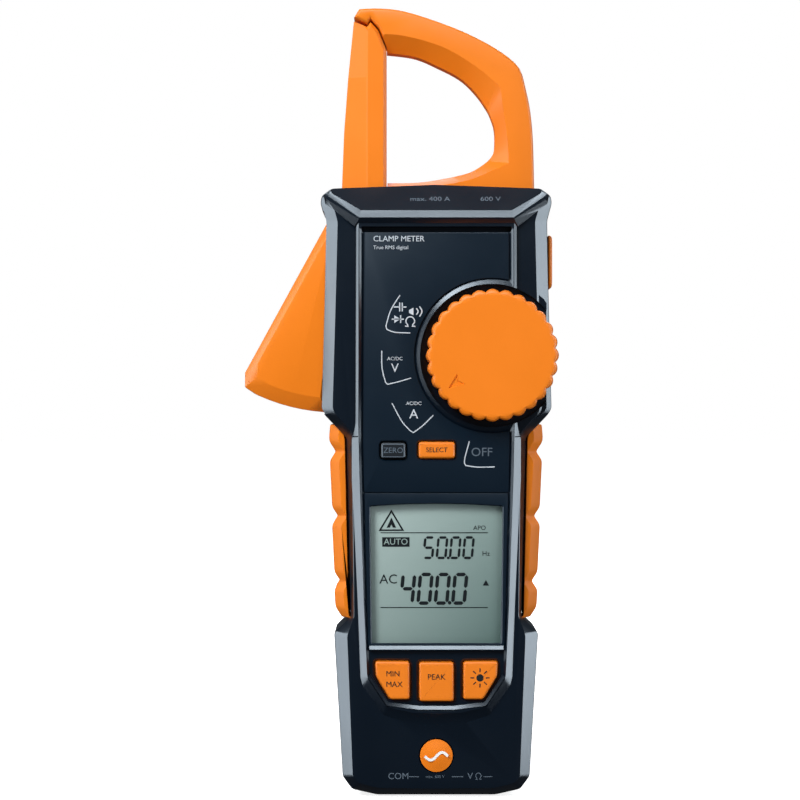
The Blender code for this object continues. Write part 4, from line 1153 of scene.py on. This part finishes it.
def rounded_copy(name, body, material, slot_name, width=0.3):
    """A CAD node's shape with its edges rounded over."""
    piece = soften(copied(name, name), width)
    return finish_piece(piece, body, material, slot_name, name, sharp=12)


def back_details():
    """The battery door with its thumb ridges, the socket block, the finger rest and the blank plate."""
    rounded_copy("battery_door", "door", NAVY, "case_plastic", 0.35)
    rounded_copy("socket_block", "case", BLACK_BLOCK, "dark_plastic", 0.15)
    rounded_copy("finger_rest", "case", ORANGE, "jaw_plastic", 0.4)
    plate_loop = eased(rectangle(-16.8, 16.8, 128.2, 155.8), 1.0)
    label = slab("rating_plate", plate_loop, 18.05, 18.3, back_edge=0.06)
    finish_piece(label, "case", FILM, "face_film")
    ridges = []
    for k in range(7):
        z = 31.0 + k * 1.6
        outline = eased(rectangle(-7.0, 7.0, z, z + 0.7), 0.3)
        ridges.append(slab("ridge", outline, 18.3, 18.85, back_edge=0.2))
    first = ridges[0]
    first.name = "door_ridges"
    carve(first, "UNION", *ridges[1:])
    finish_piece(first, "door", NAVY, "case_plastic")


INNER = {
    "lcd_frame": SILICON,
    "backlight": DIFFUSER,
    "key_mat_upper": KEY_DARK,
    "key_mat_lower": KEY_DARK,
    "hook_core": CORE_STEEL,
    "arm_core": CORE_STEEL,
    "pickup_coil": COPPER,
    "arm_rack": NYLON,
    "compound_gear": NYLON,
    "circuit_board": BOARD,
    "processor_chip": SILICON,
    "buzzer": SILICON,
    "dial_rotor": NYLON,
    "dial_wiper": BRASS,
    "detent_spring": STEEL,
    "socket_sleeve_com": BRASS,
    "socket_sleeve_volt": BRASS,
    "battery_tray": BLACK_BLOCK,
    "battery_1": CELL,
    "battery_2": CELL,
    "battery_3": CELL,
    "battery_contact_low": STEEL,
    "battery_contact_high": STEEL,
}


def paint_inner():
    """Paints the CAD nodes that stay, by what each is made of."""
    for name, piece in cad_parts.items():
        if piece.hide_render:
            continue
        material = INNER.get(name, STEEL)
        for place in piece.material_slots:
            place.material = material


# ---------------------------------------------------------------- floor, light and camera


# The floor: rings and level in metres, just under the bottom end
FLOOR_RINGS = (0.0, 0.4, 1.2, 3.0, 6.0)
FLOOR_SIDES = 48
FLOOR_LEVEL = -0.0005


def stage():
    """A wide round floor of pale paper that fades into the white of the room on every side."""
    shape = bmesh.new()
    for near, far in zip(FLOOR_RINGS, FLOOR_RINGS[1:]):
        for k in range(FLOOR_SIDES):
            start = 2 * math.pi * k / FLOOR_SIDES
            end = 2 * math.pi * (k + 1) / FLOOR_SIDES
            corners = [(far, start), (far, end), (near, end)]
            if near:
                corners.append((near, start))
            places = [(r * math.cos(t), r * math.sin(t), FLOOR_LEVEL) for r, t in corners]
            shape.faces.new([shape.verts.new(place) for place in places])
    bmesh.ops.remove_doubles(shape, verts=shape.verts, dist=1e-6)
    mesh = bpy.data.meshes.new("floor")
    shape.to_mesh(mesh)
    shape.free()
    floor = put("floor", mesh)
    glow = (("Emission Color", (1, 1, 1, 1)), ("Emission Strength", 0.8))
    paper = finish("paper", "F4F4F3", 0.8, grain=2.0, depth=0.01, shade=0.0, values=glow)
    floor.data.materials.append(paper)
    floor.visible_glossy = False
    floor.visible_diffuse = False


def aim(thing, target):
    direction = Vector(target) - thing.location
    thing.rotation_euler = direction.to_track_quat("-Z", "Y").to_euler()


def softbox(name, place, target, size, power, glossy=True, diffuse=True, tint=(1, 1, 1)):
    light = bpy.data.lights.new(name, "AREA")
    light.shape = "RECTANGLE"
    light.size, light.size_y = size
    light.energy = power
    light.color = tint
    lamp = bpy.data.objects.new(name, light)
    lamp.location = place
    bpy.context.scene.collection.objects.link(lamp)
    aim(lamp, target)
    lamp.visible_glossy = glossy
    lamp.visible_diffuse = diffuse
    lamp.visible_camera = False
    return lamp


def lights():
    middle = (0, 0, 0.12)
    cool = (0.78, 0.9, 1.0)
    softbox("key_light", (-0.6, -0.75, 0.8), middle, (0.45, 0.45), 13.5, glossy=False)
    softbox("fill_light", (0.7, -0.9, 0.3), middle, (0.7, 0.7), 3.2, glossy=False)
    softbox("left_strip", (-0.7, -0.1, 0.13), middle, (0.4, 0.9), 12.0, diffuse=False, tint=cool)
    softbox("right_strip", (0.7, -0.1, 0.13), middle, (0.4, 0.9), 12.5, diffuse=False, tint=cool)
    softbox("top_strip", (-0.2, -0.55, 0.88), (0, 0, 0.16), (0.9, 0.25), 20.0, diffuse=False, tint=cool)
    softbox("back_light", (0.5, 0.9, 0.7), middle, (0.6, 0.6), 9.0, glossy=False)
    softbox("back_strip", (0.0, 0.75, 0.75), middle, (1.4, 0.3), 6.0, diffuse=False, tint=cool)
    world = bpy.data.worlds.new("studio")
    world.use_nodes = True
    tree = world.node_tree
    ground = tree.nodes["Background"]
    ground.inputs["Color"].default_value = (0.9, 0.94, 1.0, 1)
    ground.inputs["Strength"].default_value = 0.4
    paper = node(tree, "ShaderNodeBackground", values=[("Color", (1, 1, 1, 1)), ("Strength", 1.0)])
    seen = node(tree, "ShaderNodeLightPath").outputs["Is Camera Ray"]
    shiny = node(tree, "ShaderNodeLightPath").outputs["Is Glossy Ray"]
    dim = node(tree, "ShaderNodeMapRange", [("Value", shiny)], [("To Min", 0.4), ("To Max", 0.05)])
    tree.links.new(dim.outputs["Result"], ground.inputs["Strength"])
    both = node(tree, "ShaderNodeMixShader", [("Fac", seen)])
    tree.links.new(ground.outputs["Background"], both.inputs[1])
    tree.links.new(paper.outputs["Background"], both.inputs[2])
    tree.links.new(both.outputs["Shader"], tree.nodes["World Output"].inputs["Surface"])
    bpy.context.scene.world = world


def camera():
    lens = bpy.data.cameras.new("camera")
    lens.lens = 100
    lens.sensor_width = 36
    eye = bpy.data.objects.new("camera", lens)
    eye.location = (-0.0114, -0.712, 0.1245)
    bpy.context.scene.collection.objects.link(eye)
    aim(eye, (-0.0114, 0, 0.1245))
    bpy.context.scene.camera = eye


front_cover()
rear_cover()
grips()
jaw_shell("hook_front_shell", -1, ORANGE, "hook_front_shell")
jaw_shell("hook_rear_shell", 1, ORANGE, "hook_rear_shell")
arm_shell("arm_front_shell", -1, "arm_front_shell")
arm_shell("arm_rear_shell", 1, "arm_rear_shell")
squeeze_lever()
selector()
keys()
badge()
face_film()
key_sill()
face_print()
display()
key_print()
case_print()
back_details()
paint_inner()
stage()
lights()
camera()
bpy.context.scene.view_settings.view_transform = "Standard"
